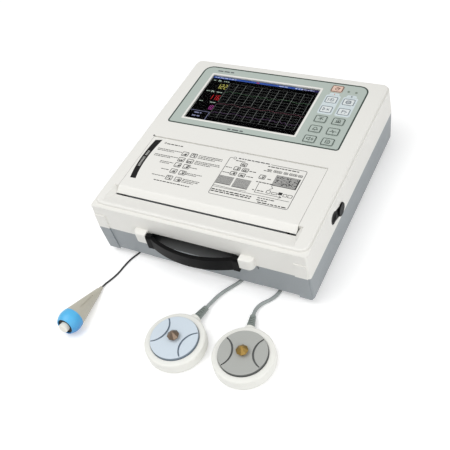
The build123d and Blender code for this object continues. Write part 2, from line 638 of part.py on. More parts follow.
def make_lower_case():
    outer = case_block(*LOWER_ENDS, 0)
    outer = fillet(outer.faces().sort_by(Axis.Z)[0].edges(), BOTTOM_EDGE)
    shell = outer + corner_pads(case_block(*LOWER_ENDS, 0))
    draft = (SPLIT_Z - FLOOR_Z) / (SPLIT_Z - GROUND_CLEARANCE)
    hollow = case_block((BOTTOM_INSET_SIDE * draft, BOTTOM_INSET_END * draft, FLOOR_Z),
                        (0, 0, SPLIT_Z), WALL)
    panel_back = REAR_PANEL_Y - REAR_PANEL_THICKNESS
    margin = REAR_PANEL_THICKNESS
    hollow -= box_between((REAR_PANEL_LEFT - margin, panel_back, 0),
                          (REAR_PANEL_RIGHT + margin, CASE_DEPTH, SPLIT_Z))
    shell -= hollow
    shell -= box_between((REAR_PANEL_LEFT, REAR_PANEL_Y, REAR_PANEL_BOTTOM),
                         (REAR_PANEL_RIGHT, CASE_DEPTH, REAR_PANEL_TOP))
    for low_x, high_x in ((-PAD_INNER_X, -PAD_INNER_X + SKIRT_LEFT_RELIEF),
                          (PAD_INNER_X - SKIRT_RIGHT_RELIEF, PAD_INNER_X)):
        shell -= box_between((low_x, -CASE_DEPTH, 0),
                             (high_x, -CASE_DEPTH / 2 + SKIRT_DEPTH, GROUND_CLEARANCE + SKIRT_RELIEF))
    nick_x = HANDLE_CENTRE_X + HANDLE_SPAN / 2 + EAR_GAP + EAR_RIGHT_WIDTH + NICK_GAP
    shell -= box_between((nick_x, -CASE_DEPTH, SPLIT_Z - NICK_HEIGHT),
                         (nick_x + NICK_WIDTH, CASE_FRONT + NICK_DEPTH, SPLIT_Z))
    for x, y in screw_places():
        shell += upright(BOSS_RADIUS, SPLIT_Z - GROUND_CLEARANCE, x, y, GROUND_CLEARANCE)
        shell -= upright(SCREW_SHANK_RADIUS + SCREW_CLEARANCE, SPLIT_Z, x, y, GROUND_CLEARANCE)
        shell -= upright(SCREW_HEAD_RADIUS + SCREW_CLEARANCE, SCREW_HEAD_HEIGHT + 1, x, y,
                         GROUND_CLEARANCE)
    for x, y in foot_places():
        shell -= upright(FOOT_RADIUS + SEAM, FOOT_RECESS, x, y, GROUND_CLEARANCE)
    for x, y in board_post_places():
        shell += upright(MAIN_BOARD_POST_RADIUS, MAIN_BOARD_LIFT, x, y, FLOOR_Z)
    for step in range(GRILLE_SLOTS):
        offset = (step - (GRILLE_SLOTS - 1) / 2) * GRILLE_PITCH
        half = math.sqrt(GRILLE_RADIUS ** 2 - offset ** 2)
        x, y = SPEAKER_CENTRE[0] + offset, SPEAKER_CENTRE[1]
        shell -= box_between((x - GRILLE_SLOT_WIDTH / 2, y - half, GROUND_CLEARANCE - 1),
                             (x + GRILLE_SLOT_WIDTH / 2, y + half, FLOOR_Z))
    for x, bore in socket_places():
        shell -= along_y(bore + SOCKET_WALL + SEAM, 4 * WALL, x, panel_back - WALL, SOCKET_Z)
    half_x = INLET_WIDTH / 2 + INLET_WALL + SEAM
    half_z = INLET_HEIGHT / 2 + INLET_WALL + SEAM
    shell -= box_between((INLET_X - half_x, panel_back - 1, SOCKET_Z - half_z),
                         (INLET_X + half_x, CASE_DEPTH, SOCKET_Z + half_z))
    shell -= along_y(POST_RADIUS + SEAM, 4 * WALL, POST_X, panel_back - WALL, SOCKET_Z)
    return shell


def make_feet():
    feet = Part()
    for x, y in foot_places():
        foot = upright(FOOT_RADIUS, GROUND_CLEARANCE + FOOT_RECESS, x, y, 0)
        feet += chamfer(foot.faces().sort_by(Axis.Z)[0].edges(), 1.0)
    return feet


def make_case_screws():
    screws = Part()
    for x, y in screw_places():
        head = upright(SCREW_HEAD_RADIUS, SCREW_HEAD_HEIGHT, x, y, GROUND_CLEARANCE + 1)
        head -= Pos(x, y, GROUND_CLEARANCE + 1) * Box(3.6, 0.9, 1.6)
        head -= Pos(x, y, GROUND_CLEARANCE + 1) * Box(0.9, 3.6, 1.6)
        length = SPLIT_Z + SCREW_BITE - GROUND_CLEARANCE - 1 - SCREW_HEAD_HEIGHT
        screws += head + upright(SCREW_SHANK_RADIUS, length, x, y,
                                 GROUND_CLEARANCE + 1 + SCREW_HEAD_HEIGHT)
    return screws


# ---- Key panel and screen ----
def key_places():
    """The plan positions of the keys, power key last."""
    places = [(x, KEY_FIRST_Y + row * KEY_PITCH) for x in KEY_COLUMNS for row in range(KEY_ROWS)]
    places.append((KEY_COLUMNS[0], POWER_KEY_Y))
    return places


def key_block(x, y, grow, bottom, top):
    """A key's rounded outline between two levels, grown by grow."""
    half_x = KEY_WIDTH / 2 + grow
    half_y = KEY_LENGTH / 2 + grow
    corner = KEY_CORNER + grow
    return rounded_plate(x - half_x, x + half_x, y - half_y, y + half_y, corner, corner, bottom, top)


def board_boss_places():
    """The posts between the two key columns that carry the key board."""
    middle = sum(KEY_COLUMNS) / 2
    return [(middle, KEY_FIRST_Y + row * KEY_PITCH) for row in BOARD_POST_ROWS]


def panel_recess():
    """The shallow bed of the key panel, with the white rim of the window left standing."""
    bed = rounded_plate(PANEL_LEFT - SEAM, PANEL_RIGHT + SEAM, PANEL_FRONT - SEAM,
                        PANEL_BACK + SEAM, PANEL_FRONT_CORNER, PANEL_BACK_CORNER,
                        PANEL_FLOOR_Z, CASE_TOP + 1)
    return bed - window_rim(0)


def window_rim(grow):
    """The raised rim round the screen window."""
    margin = WINDOW_RIM + grow
    return rounded_plate(WINDOW_LEFT - margin, WINDOW_RIGHT + margin, WINDOW_FRONT - margin,
                         WINDOW_BACK + margin, 1.5, 1.5, PANEL_FLOOR_Z, CASE_TOP)


def make_panel():
    panel = rounded_plate(PANEL_LEFT, PANEL_RIGHT, PANEL_FRONT, PANEL_BACK,
                          PANEL_FRONT_CORNER, PANEL_BACK_CORNER, PANEL_FLOOR_Z, CASE_TOP)
    panel -= window_rim(SEAM)
    for x, y in key_places():
        panel -= key_block(x, y, KEY_GAP, PANEL_FLOOR_Z, CASE_TOP)
    for x in LIGHT_X:
        panel -= upright(LIGHT_RADIUS + SEAM, WALL, x, LIGHT_Y, PANEL_FLOOR_Z)
    return panel


def make_key(x, y):
    cap = key_block(x, y, 0, KEY_FLANGE_TOP, CASE_TOP + KEY_PROUD)
    cap = fillet(cap.faces().sort_by(Axis.Z)[-1].edges(), 0.4)
    return cap + key_block(x, y, KEY_FLANGE, KEY_FLANGE_TOP - KEY_FLANGE_THICKNESS, KEY_FLANGE_TOP)


def make_key_board():
    margin = KEY_WIDTH / 2 + KEY_FLANGE + 2
    return box_between((KEY_COLUMNS[0] - margin, KEY_FIRST_Y - margin, BOARD_TOP - BOARD_THICKNESS),
                       (KEY_COLUMNS[1] + margin, POWER_KEY_Y + margin, BOARD_TOP))


def make_lights():
    lights = Part()
    for x in LIGHT_X:
        stem = upright(LIGHT_RADIUS, CASE_TOP + LIGHT_PROUD - BOARD_TOP, x, LIGHT_Y, BOARD_TOP)
        lights += fillet(stem.faces().sort_by(Axis.Z)[-1].edges(), LIGHT_PROUD)
    return lights


def make_glass():
    top = CASE_TOP - GLASS_SUNK
    return box_between((WINDOW_LEFT + GLASS_CLEARANCE, WINDOW_FRONT + GLASS_CLEARANCE,
                        top - GLASS_THICKNESS),
                       (WINDOW_RIGHT - GLASS_CLEARANCE, WINDOW_BACK - GLASS_CLEARANCE, top))


def make_display():
    top = SKIN_Z - SEAM
    frame = box_between((WINDOW_LEFT - LCD_BORDER, WINDOW_FRONT - LCD_BORDER, top - LCD_THICKNESS),
                        (WINDOW_RIGHT + LCD_BORDER, WINDOW_BACK + LCD_BORDER, top))
    face = box_between((WINDOW_LEFT + 1, WINDOW_FRONT + 1, top),
                       (WINDOW_RIGHT - 1, WINDOW_BACK - 1, CASE_TOP - GLASS_SUNK - GLASS_THICKNESS - SEAM))
    return frame + face


# ---- Printer door ----
def make_door():
    bottom = CASE_TOP - DOOR_THICKNESS
    run = DOOR_FRONT_Y - LIP_TIP_Y
    drop = CASE_TOP - SLOT_Z
    slope = math.hypot(run, drop)
    inner_turn_y = DOOR_FRONT_Y + DOOR_THICKNESS * (slope - run) / drop
    inner_tip_y = LIP_TIP_Y + DOOR_THICKNESS * slope / drop
    profile = Polyline((HINGE_Y, CASE_TOP), (DOOR_FRONT_Y, CASE_TOP), (LIP_TIP_Y, SLOT_Z),
                       (inner_tip_y, SLOT_Z), (inner_turn_y, bottom), (HINGE_Y, bottom), close=True)
    door = extrude(Plane.YZ.offset(DOOR_LEFT) * make_face(profile), DOOR_WIDTH)
    turn = door.edges().filter_by(Axis.X).group_by(Axis.Z)[-1].sort_by(Axis.Y)[0]
    door = fillet(turn, 5.0)
    door += along_x(HINGE_RADIUS, DOOR_WIDTH, DOOR_LEFT, HINGE_Y, HINGE_Z)
    rib_half = TRAY_WIDTH / 2 - 6
    for step in range(DOOR_RIBS):
        y = HINGE_Y - DOOR_RIB_INSET - step * DOOR_RIB_PITCH
        door += box_between((DOOR_CENTRE_X - rib_half, y - DOOR_RIB_THICKNESS / 2,
                             bottom - DOOR_RIB_HEIGHT),
                            (DOOR_CENTRE_X + rib_half, y + DOOR_RIB_THICKNESS / 2, bottom))
    depth = HINGE_PIN_LENGTH - BLOCK_WIDTH + 1
    for start in (DOOR_LEFT, DOOR_RIGHT - depth):
        door -= along_x(HINGE_PIN_RADIUS + RUNNING_FIT, depth, start, HINGE_Y, HINGE_Z)
    return door


def make_door_pins():
    pins = Part()
    for side, x in ((-1, DOOR_LEFT), (1, DOOR_RIGHT)):
        outer = x + side * (DOOR_GAP + BLOCK_WIDTH - 1.5)
        start = outer - HINGE_PIN_LENGTH if side > 0 else outer
        pins += along_x(HINGE_PIN_RADIUS, HINGE_PIN_LENGTH, start, HINGE_Y, HINGE_Z)
    return pins


def make_print_head():
    top = CASE_TOP - DOOR_THICKNESS
    bottom = ROLLER_Z + ROLLER_RADIUS + HEAD_GAP
    half = TRAY_WIDTH / 2 - 3
    head = box_between((DOOR_CENTRE_X - half, ROLLER_Y - HEAD_DEPTH / 2 + 1, bottom),
                       (DOOR_CENTRE_X + half, ROLLER_Y + HEAD_DEPTH / 2 + 1, top))
    for y in (ROLLER_Y - 1.5, ROLLER_Y + 3.5):
        head -= box_between((DOOR_CENTRE_X - half, y - 0.6, top - 2.6),
                            (DOOR_CENTRE_X + half, y + 0.6, top - 1.0))
    return head


# ---- Paper tray and drive ----
def flange_screw_places():
    """Where the tray's flange hangs from the upper shell."""
    x_places = (DOOR_LEFT - DOOR_GAP - TRAY_FLANGE_MARGIN / 2 - 1,
                DOOR_RIGHT + DOOR_GAP + TRAY_FLANGE_MARGIN / 2 + 1)
    return [(x, HINGE_Y - inset) for x in x_places for inset in TRAY_SCREW_INSETS]


def make_tray():
    outer_left = TRAY_LEFT - TRAY_WALL
    outer_right = TRAY_RIGHT + TRAY_WALL
    tray = box_between((outer_left, TRAY_FRONT_Y - TRAY_WALL, TRAY_FLOOR_Z - TRAY_WALL),
                       (outer_right, TRAY_BACK_Y + TRAY_WALL, TRAY_FLANGE_TOP))
    flange_bottom = TRAY_FLANGE_TOP - TRAY_FLANGE
    tray += box_between((DOOR_LEFT, TRAY_FRONT_Y - TRAY_WALL, flange_bottom),
                        (DOOR_RIGHT, BAY_BACK_Y, TRAY_FLANGE_TOP))
    margin = DOOR_GAP + TRAY_FLANGE_MARGIN
    tray += box_between((DOOR_LEFT - margin, DOOR_FRONT_Y + WALL + DOOR_GAP, flange_bottom),
                        (DOOR_RIGHT + margin, BAY_BACK_Y + TRAY_FLANGE_MARGIN, TRAY_FLANGE_TOP))
    tray -= box_between((TRAY_LEFT, TRAY_FRONT_Y, TRAY_FLOOR_Z), (TRAY_RIGHT, TRAY_BACK_Y, CASE_TOP))
    tray -= box_between((outer_right, TRAY_FRONT_Y - TRAY_WALL, TRAY_FLANGE_TOP - 2 * TRAY_FLANGE),
                        (MOTOR_FACE_X - 0.5, ROLLER_Y + 14, CASE_TOP))
    tray += box_between((TRAY_LEFT, PAPER_STOP_Y - PAPER_STOP_THICKNESS, TRAY_FLOOR_Z),
                        (TRAY_RIGHT, PAPER_STOP_Y, TRAY_FLOOR_Z + PAPER_STOP_HEIGHT))
    for step in range(TRAY_RIBS):
        y = TRAY_BACK_Y - TRAY_RIB_INSET - step * TRAY_RIB_PITCH
        tray += box_between((TRAY_LEFT, y - TRAY_RIB_THICKNESS / 2, TRAY_FLOOR_Z),
                            (TRAY_RIGHT, y + TRAY_RIB_THICKNESS / 2, TRAY_FLOOR_Z + TRAY_RIB_HEIGHT))
    for y in (MOTOR_Y - MOTOR_EAR_SPAN / 2, MOTOR_Y + MOTOR_EAR_SPAN / 2):
        tray += along_x(MOTOR_POST_RADIUS, MOTOR_FACE_X - outer_right, outer_right, y, MOTOR_Z)
    tray -= along_x(ROLLER_SHAFT_RADIUS + RUNNING_FIT, TRAY_WIDTH + 3 * TRAY_WALL,
                    outer_left - TRAY_WALL / 2, ROLLER_Y, ROLLER_Z)
    return tray


def make_paper():
    gap = PAPER_CLEARANCE
    bottom = TRAY_FLOOR_Z + TRAY_RIB_HEIGHT + PAPER_LIFT
    return box_between((TRAY_LEFT + gap, PAPER_STOP_Y + gap, bottom),
                       (TRAY_RIGHT - gap, TRAY_BACK_Y - gap, bottom + PAPER_HEIGHT))


def make_roller():
    length = TRAY_WIDTH - 2 * ROLLER_END_GAP
    sleeve = along_x(ROLLER_RADIUS, length, TRAY_LEFT + ROLLER_END_GAP, ROLLER_Y, ROLLER_Z)
    return sleeve - along_x(ROLLER_SHAFT_RADIUS, length, TRAY_LEFT + ROLLER_END_GAP, ROLLER_Y, ROLLER_Z)


def make_roller_shaft():
    start = TRAY_LEFT - TRAY_WALL - 3
    return along_x(ROLLER_SHAFT_RADIUS, GEAR_X + GEAR_WIDTH + 1 - start, start, ROLLER_Y, ROLLER_Z)


def make_roller_gear():
    wheel = gear(ROLLER_TEETH, GEAR_WIDTH, ROLLER_SHAFT_RADIUS)
    for step in range(6):
        angle = math.radians(60 * step)
        wheel -= Pos(6 * math.cos(angle), 6 * math.sin(angle), 0) * extrude(Circle(1.6), GEAR_WIDTH)
    turn = Plane(origin=(GEAR_X, ROLLER_Y, ROLLER_Z), x_dir=(0, 1, 0), z_dir=(1, 0, 0))
    return turn.location * Rot(0, 0, MOTOR_ANGLE) * wheel


def make_motor_pinion():
    half_tooth = 180 / PINION_TEETH
    wheel = gear(PINION_TEETH, GEAR_WIDTH, MOTOR_SHAFT_RADIUS)
    turn = Plane(origin=(GEAR_X, MOTOR_Y, MOTOR_Z), x_dir=(0, 1, 0), z_dir=(1, 0, 0))
    pinion = turn.location * Rot(0, 0, MOTOR_ANGLE + 180 + half_tooth) * wheel
    shaft = along_x(MOTOR_SHAFT_RADIUS, MOTOR_FACE_X + 6 - GEAR_X, GEAR_X, MOTOR_Y, MOTOR_Z)
    return pinion + shaft


def make_motor():
    half = MOTOR_EAR_SPAN / 2
    plate = Pos(MOTOR_Y, MOTOR_Z) * SlotCenterToCenter(MOTOR_EAR_SPAN, 2 * MOTOR_POST_RADIUS + 2)
    motor = extrude(Plane.YZ.offset(MOTOR_FACE_X) * plate, MOTOR_PLATE)
    motor += along_x(MOTOR_RADIUS, MOTOR_LENGTH, MOTOR_FACE_X, MOTOR_Y, MOTOR_Z)
    motor -= along_x(MOTOR_SHAFT_RADIUS + RUNNING_FIT, 7, MOTOR_FACE_X, MOTOR_Y, MOTOR_Z)
    for y in (MOTOR_Y - half, MOTOR_Y + half):
        motor += along_x(MOTOR_POST_RADIUS - 0.4, 1.6, MOTOR_FACE_X + MOTOR_PLATE, y, MOTOR_Z)
    return motor


# ---- Door release ----
def make_door_release():
    y, z, radius = RELEASE_TAIL
    top_z = z + radius + RELEASE_FLANGE
    draft = TOP_INSET_SIDE * (top_z - SPLIT_Z) / (CREASE_Z - SPLIT_Z)
    flange_face = CASE_WIDTH / 2 - draft - WALL - RELEASE_GAP
    start = flange_face - RELEASE_FLANGE_THICKNESS - RELEASE_STEM
    release = release_block(start, CASE_WIDTH / 2 - start, 0)
    release &= case_block(*UPPER_ENDS, RELEASE_SUNK)
    release += release_block(flange_face - RELEASE_FLANGE_THICKNESS, RELEASE_FLANGE_THICKNESS,
                             RELEASE_FLANGE)
    head_y, head_z, head_radius = RELEASE_HEAD
    knob = along_x(head_radius, CASE_RIGHT + RELEASE_PROUD - start, start, head_y, head_z)
    release += fillet(knob.faces().sort_by(Axis.X)[-1].edges(), RELEASE_EDGE)
    thumb_x = CASE_WIDTH / 2 - draft - RELEASE_SUNK + THUMB_RADIUS - THUMB_DEPTH
    release -= Pos(thumb_x, y, z) * Sphere(THUMB_RADIUS)
    return release


# ---- Carrying handle ----
def make_handle():
    half = HANDLE_SPAN / 2
    end_x = half - HANDLE_LUG / 2
    line = ThreePointArc((-end_x, 0), (0, -HANDLE_BOW), (end_x, 0))
    band = extrude(trace(line, HANDLE_THICKNESS), HANDLE_HEIGHT)
    band = fillet(band.edges().filter_by(GeomType.CIRCLE), 1.2)
    handle = Pos(HANDLE_CENTRE_X, PIVOT_Y, HANDLE_BOTTOM_Z) * band
    lug_half = HANDLE_STANDOFF - EAR_GAP
    for side in (-1, 1):
        inner = HANDLE_CENTRE_X + side * (half - HANDLE_LUG)
        outer = HANDLE_CENTRE_X + side * half
        left, right = sorted((inner, outer))
        lug = box_between((left, PIVOT_Y - lug_half, HANDLE_BOTTOM_Z - 1),
                          (right, PIVOT_Y + lug_half, PIVOT_Z))
        lug = chamfer(lug.faces().sort_by(Axis.Z)[0].edges(), 0.8)
        lug += along_x(lug_half, HANDLE_LUG, left, PIVOT_Y, PIVOT_Z)
        start = outer if side > 0 else outer - TRUNNION_LENGTH
        lug += along_x(TRUNNION_RADIUS, TRUNNION_LENGTH, start, PIVOT_Y, PIVOT_Z)
        handle += lug
    return handle


# ---- Rear panel ----
def socket_places():
    """The rear sockets: place along X and bore radius."""
    places = [(x, PROBE_SOCKET_BORE) for x in PROBE_SOCKET_X]
    places.append((MARKER_SOCKET_X, MARKER_SOCKET_BORE))
    return places


def make_sockets():
    sockets = Part()
    for x, bore in socket_places():
        outer = bore + SOCKET_WALL
        mouth = REAR_PANEL_Y + SOCKET_FLANGE_THICKNESS
        cup = along_y(outer, SOCKET_DEPTH + SOCKET_WALL, x, mouth - SOCKET_DEPTH - SOCKET_WALL, SOCKET_Z)
        cup += along_y(outer + SOCKET_FLANGE, SOCKET_FLANGE_THICKNESS, x, REAR_PANEL_Y, SOCKET_Z)
        cup -= along_y(bore, SOCKET_DEPTH, x, mouth - SOCKET_DEPTH, SOCKET_Z)
        sockets += cup
    return sockets


def make_mains_inlet():
    mouth = REAR_PANEL_Y + 1.5
    outer_x = INLET_WIDTH / 2 + INLET_WALL
    outer_z = INLET_HEIGHT / 2 + INLET_WALL
    body = box_between((INLET_X - outer_x, mouth - INLET_DEPTH - INLET_WALL, SOCKET_Z - outer_z),
                       (INLET_X + outer_x, mouth, SOCKET_Z + outer_z))
    flange_x = outer_x + INLET_FLANGE
    flange_z = outer_z + 1.0
    body += box_between((INLET_X - flange_x, REAR_PANEL_Y, SOCKET_Z - flange_z),
                        (INLET_X + flange_x, mouth, SOCKET_Z + flange_z))
    body -= box_between((INLET_X - INLET_WIDTH / 2, mouth - INLET_DEPTH, SOCKET_Z - INLET_HEIGHT / 2),
                        (INLET_X + INLET_WIDTH / 2, mouth, SOCKET_Z + INLET_HEIGHT / 2))
    width, height = BLADE_SIZE
    for offset_x, offset_z in BLADE_PLACES:
        x, z = INLET_X + offset_x, SOCKET_Z + offset_z
        body += box_between((x - width / 2, mouth - INLET_DEPTH, z - height / 2),
                            (x + width / 2, mouth - BLADE_INSET, z + height / 2))
    return body


def make_ground_post():
    back = REAR_PANEL_Y - REAR_PANEL_THICKNESS
    post = along_y(POST_RADIUS, POST_TIP_Y - back, POST_X, back, SOCKET_Z)
    post = chamfer(post.faces().sort_by(Axis.Y)[-1].edges(), 0.6)
    nut = Plane.XZ * RegularPolygon(POST_NUT, 6)
    return post + Pos(POST_X, REAR_PANEL_Y, SOCKET_Z) * extrude(nut, -POST_NUT_THICKNESS)


# ---- Inside the case ----
def board_post_places():
    """The posts under the main board."""
    x, y = MAIN_BOARD_CENTRE
    half_x = MAIN_BOARD[0] / 2 - MAIN_BOARD_POST_INSET
    half_y = MAIN_BOARD[1] / 2 - MAIN_BOARD_POST_INSET
    return [(x + i * half_x, y + j * half_y) for i in (-1, 1) for j in (-1, 1)]


def make_main_board():
    x, y = MAIN_BOARD_CENTRE
    board = Pos(x, y, MAIN_BOARD_Z + MAIN_BOARD_THICKNESS / 2) * Box(*MAIN_BOARD, MAIN_BOARD_THICKNESS)
    top = MAIN_BOARD_Z + MAIN_BOARD_THICKNESS
    for offset_x, offset_y, width, depth, height in MAIN_BOARD_PARTS:
        board += Pos(x + offset_x, y + offset_y, top + height / 2) * Box(width, depth, height)
    return board


def seated_box(size, centre):
    """A box of the given size on the case floor."""
    return Pos(centre[0], centre[1], FLOOR_Z + size[2] / 2) * Box(*size)


def make_power_supply():
    supply = seated_box(SUPPLY_SIZE, SUPPLY_CENTRE)
    return chamfer(supply.faces().sort_by(Axis.Z)[-1].edges(), 1.5)


def make_battery():
    battery = seated_box(BATTERY_SIZE, BATTERY_CENTRE)
    return fillet(battery.edges().filter_by(Axis.X), 6.0)


def make_speaker():
    x, y = SPEAKER_CENTRE
    rim = upright(SPEAKER_RADIUS, SPEAKER_RIM, x, y, FLOOR_Z)
    rim -= upright(GRILLE_RADIUS, SPEAKER_RIM, x, y, FLOOR_Z)
    basket_z = FLOOR_Z + SPEAKER_RIM
    basket = Cone(SPEAKER_RADIUS - 2, SPEAKER_MAGNET_RADIUS, SPEAKER_BASKET)
    basket = Pos(x, y, basket_z + SPEAKER_BASKET / 2) * basket
    hollow = SPEAKER_BASKET - 2
    basket -= Pos(x, y, basket_z + hollow / 2) * Cone(GRILLE_RADIUS, SPEAKER_MAGNET_RADIUS - 6, hollow)
    magnet_z = basket_z + SPEAKER_BASKET
    magnet = upright(SPEAKER_MAGNET_RADIUS, FLOOR_Z + SPEAKER_DEPTH - magnet_z, x, y, magnet_z)
    return rim + basket + magnet


# ---- Ultrasound probes ----
def probe_frame(index):
    """The probe's own frame on the floor, with its lead towards +X."""
    x, y = PROBE_CENTRES[index]
    return Pos(x, y, 0) * Rot(0, 0, PROBE_LEAD_ANGLES[index])


def boot_frame(index):
    """The frame of a lead's strain relief, +Z along the lead."""
    return probe_frame(index) * Pos(BOOT_START, 0, BOOT_Z) * Rot(0, 90 + BOOT_TILT, 0)


def make_probe_housing(index):
    seat = DISC_RADIUS + DISC_GAP
    line = Polyline((0, 0), (PROBE_BASE_RADIUS, 0), (PROBE_BASE_RADIUS, PROBE_BASE_HEIGHT),
                    (PROBE_RADIUS, PROBE_BASE_HEIGHT + 1), (PROBE_RADIUS - 0.3, PROBE_SIDE_TOP))
    shoulder = ThreePointArc((PROBE_RADIUS - 0.3, PROBE_SIDE_TOP),
                             (PROBE_RADIUS - 0.9, PROBE_SHOULDER_Z - 0.7),
                             (PROBE_SHOULDER_RADIUS, PROBE_SHOULDER_Z))
    top = Polyline((PROBE_SHOULDER_RADIUS, PROBE_SHOULDER_Z), (seat + 0.8, PROBE_RIM_Z),
                   (seat, PROBE_RIM_Z - 0.6), (seat, DISC_SEAT_Z), (0, DISC_SEAT_Z), (0, 0))
    housing = revolve(Plane.XZ * make_face(line + shoulder + top), Axis.Z)
    spout = Pos(BOOT_START - 8, 0, BOOT_Z + 8 * math.sin(math.radians(BOOT_TILT)))
    spout *= Rot(0, 90 + BOOT_TILT, 0)
    housing += spout * extrude(Circle(SPOUT_RADIUS), SPOUT_REACH - BOOT_START + 8)
    housing -= Pos(0, 0, DISC_SEAT_Z) * extrude(Circle(seat), 2 * DISC_TOP)
    bore = Pos(BOOT_START, 0, BOOT_Z) * Rot(0, 90 + BOOT_TILT, 0)
    housing -= bore * extrude(Circle(BOOT_BASE_RADIUS), 12)
    return probe_frame(index) * housing


def make_probe_disc(index):
    disc = extrude(Circle(DISC_RADIUS), DISC_TOP - DISC_SEAT_Z)
    disc = fillet(disc.faces().sort_by(Axis.Z)[-1].edges(), DISC_EDGE)
    for side in (-1, 1):
        crescent = Pos(0, side * CRESCENT_OFFSET) * Circle(CRESCENT_RADIUS)
        inner = CRESCENT_OFFSET + CRESCENT_WIDTH * 0.8
        crescent -= Pos(0, side * inner) * Circle(CRESCENT_RADIUS - CRESCENT_WIDTH * 0.2)
        crescent &= Circle(DISC_RADIUS - 0.6)
        disc -= Pos(0, 0, DISC_TOP - DISC_SEAT_Z - CRESCENT_DEPTH) * extrude(crescent, 2 * CRESCENT_DEPTH)
    return probe_frame(index) * Pos(0, 0, DISC_SEAT_Z) * disc


def make_probe_stud(index):
    foot = RegularPolygon(STUD_FOOT_RADIUS, STUD_FACETS)
    waist = Pos(0, 0, STUD_WAIST_HEIGHT) * RegularPolygon(STUD_RADIUS, STUD_FACETS)
    tip = Pos(0, 0, STUD_HEIGHT) * RegularPolygon(STUD_TIP_RADIUS, STUD_FACETS)
    stud = loft([foot, waist], ruled=True) + loft([waist, tip], ruled=True)
    return probe_frame(index) * Pos(0, 0, DISC_TOP) * stud


def make_probe_boot(index):
    boot = Pos(0, 0, BOOT_LENGTH / 2) * Cone(BOOT_BASE_RADIUS, BOOT_TIP_RADIUS, BOOT_LENGTH)
    first = SPOUT_REACH - BOOT_START + 3.0
    pitch = (BOOT_LENGTH - first - 2.0) / BOOT_RINGS
    for step in range(BOOT_RINGS):
        z = first + step * pitch
        for side in (-1, 1):
            boot -= Pos(side * BOOT_BASE_RADIUS, 0, z) * Box(BOOT_BASE_RADIUS * 1.3, 20, pitch * 0.42)
    return boot_frame(index) * boot


# ---- Event marker ----
def marker_frame():
    """The marker's frame: +X from tail to button, lying on its collar and its neck."""
    tilt = math.atan((COLLAR_BACK_RADIUS - MARKER_NECK_RADIUS) / (MARKER_BODY_END - MARKER_FERRULE))
    heading = math.radians(MARKER_HEADING)
    level, rise = math.cos(tilt), math.sin(tilt)
    axis = (math.cos(heading) * level, math.sin(heading) * level, rise)
    side = (-math.sin(heading), math.cos(heading), 0)
    up = Vector(*axis).cross(Vector(*side))
    tail_z = MARKER_NECK_RADIUS * level - MARKER_FERRULE * rise
    return Plane(origin=(*MARKER_TAIL, tail_z), x_dir=axis, z_dir=tuple(up))


def turned(points):
    """A solid turned about X from an outline in the upper half plane."""
    return revolve(make_face(Polyline(*points, close=True)), Axis.X)


def make_marker_body():
    switch_start = COLLAR_END - SWITCH_DEPTH
    throat = COLLAR_MOUTH_RADIUS - 1.5
    body = turned([(0, 0), (0, MARKER_FERRULE_RADIUS), (MARKER_FERRULE, MARKER_FERRULE_RADIUS + 0.4),
                   (MARKER_FERRULE, MARKER_NECK_RADIUS), (MARKER_BODY_END, MARKER_BODY_RADIUS),
                   (MARKER_BODY_END, throat), (switch_start, throat), (switch_start, 0)])
    slope = (MARKER_BODY_RADIUS - MARKER_NECK_RADIUS) / (MARKER_BODY_END - MARKER_FERRULE)
    groove_middle = 35.0
    height = MARKER_NECK_RADIUS + slope * (groove_middle - MARKER_FERRULE)
    groove = Rot(-28, 0, 0) * Pos(groove_middle, 0, height)
    groove *= Rot(0, -math.degrees(math.atan(slope)), 0)
    body -= groove * Box(27, 1.3, 1.4)
    return marker_frame().location * body


def make_marker_collar():
    profile = Polyline((MARKER_BODY_END, COLLAR_MOUTH_RADIUS - 1.5 + COLLAR_GAP),
                       (MARKER_BODY_END, COLLAR_BACK_RADIUS), (COLLAR_WIDEST, COLLAR_RADIUS))
    crown = ThreePointArc((COLLAR_WIDEST, COLLAR_RADIUS),
                          (COLLAR_END - 4, COLLAR_RADIUS - 1.2), (COLLAR_END, COLLAR_MOUTH_RADIUS))
    back = Polyline((COLLAR_END, COLLAR_MOUTH_RADIUS), (COLLAR_END, COLLAR_MOUTH_RADIUS - 1.5 + COLLAR_GAP),
                    (MARKER_BODY_END, COLLAR_MOUTH_RADIUS - 1.5 + COLLAR_GAP))
    collar = revolve(make_face(profile + crown + back), Axis.X)
    return marker_frame().location * collar


def make_marker_ring():
    outer = COLLAR_MOUTH_RADIUS - 1.5
    inner = BUTTON_RADIUS + BUTTON_GAP
    start = COLLAR_END - SWITCH_DEPTH
    sleeve = turned([(start, 0), (start, outer), (COLLAR_END - 1.2, outer), (COLLAR_END - 1.2, inner),
                     (start + SWITCH_BASE, inner), (start + SWITCH_BASE, 0)])
    return marker_frame().location * sleeve


def make_marker_button():
    end = COLLAR_END + BUTTON_PROUD
    start = COLLAR_END - SWITCH_DEPTH + SWITCH_BASE + BUTTON_TRAVEL + BUTTON_GAP
    button = turned([(start, 0), (start, BUTTON_RADIUS), (end - 1.2, BUTTON_RADIUS),
                     (end - 0.3, BUTTON_RADIUS - 0.9), (end, BUTTON_RADIUS - 2.4), (end, 0)])
    return marker_frame().location * button


# ---- Leads ----
def lead_tube(name, points, radius):
    """Straight runs joined by arcs, each arc as large as its two runs allow."""
    corners = [Vector(*point) for point in points]
    radii = []
    for before, here, after in zip(corners, corners[1:], corners[2:]):
        turn = (here - before).get_angle(after - here)
        shorter = min((here - before).length, (after - here).length)
        radii.append(0.45 * shorter / math.tan(math.radians(turn) / 2))
    path = FilletPolyline(*corners, radius=radii)
    start = Plane(origin=path @ 0, z_dir=path % 0)
    tube = sweep(start * Circle(radius), path=path)
    expected = math.pi * radius ** 2 * path.length
    print(name, "radii", [round(value, 1) for value in radii], "length", round(path.length, 1),
          "volume", round(tube.volume / expected, 4))
    return tube


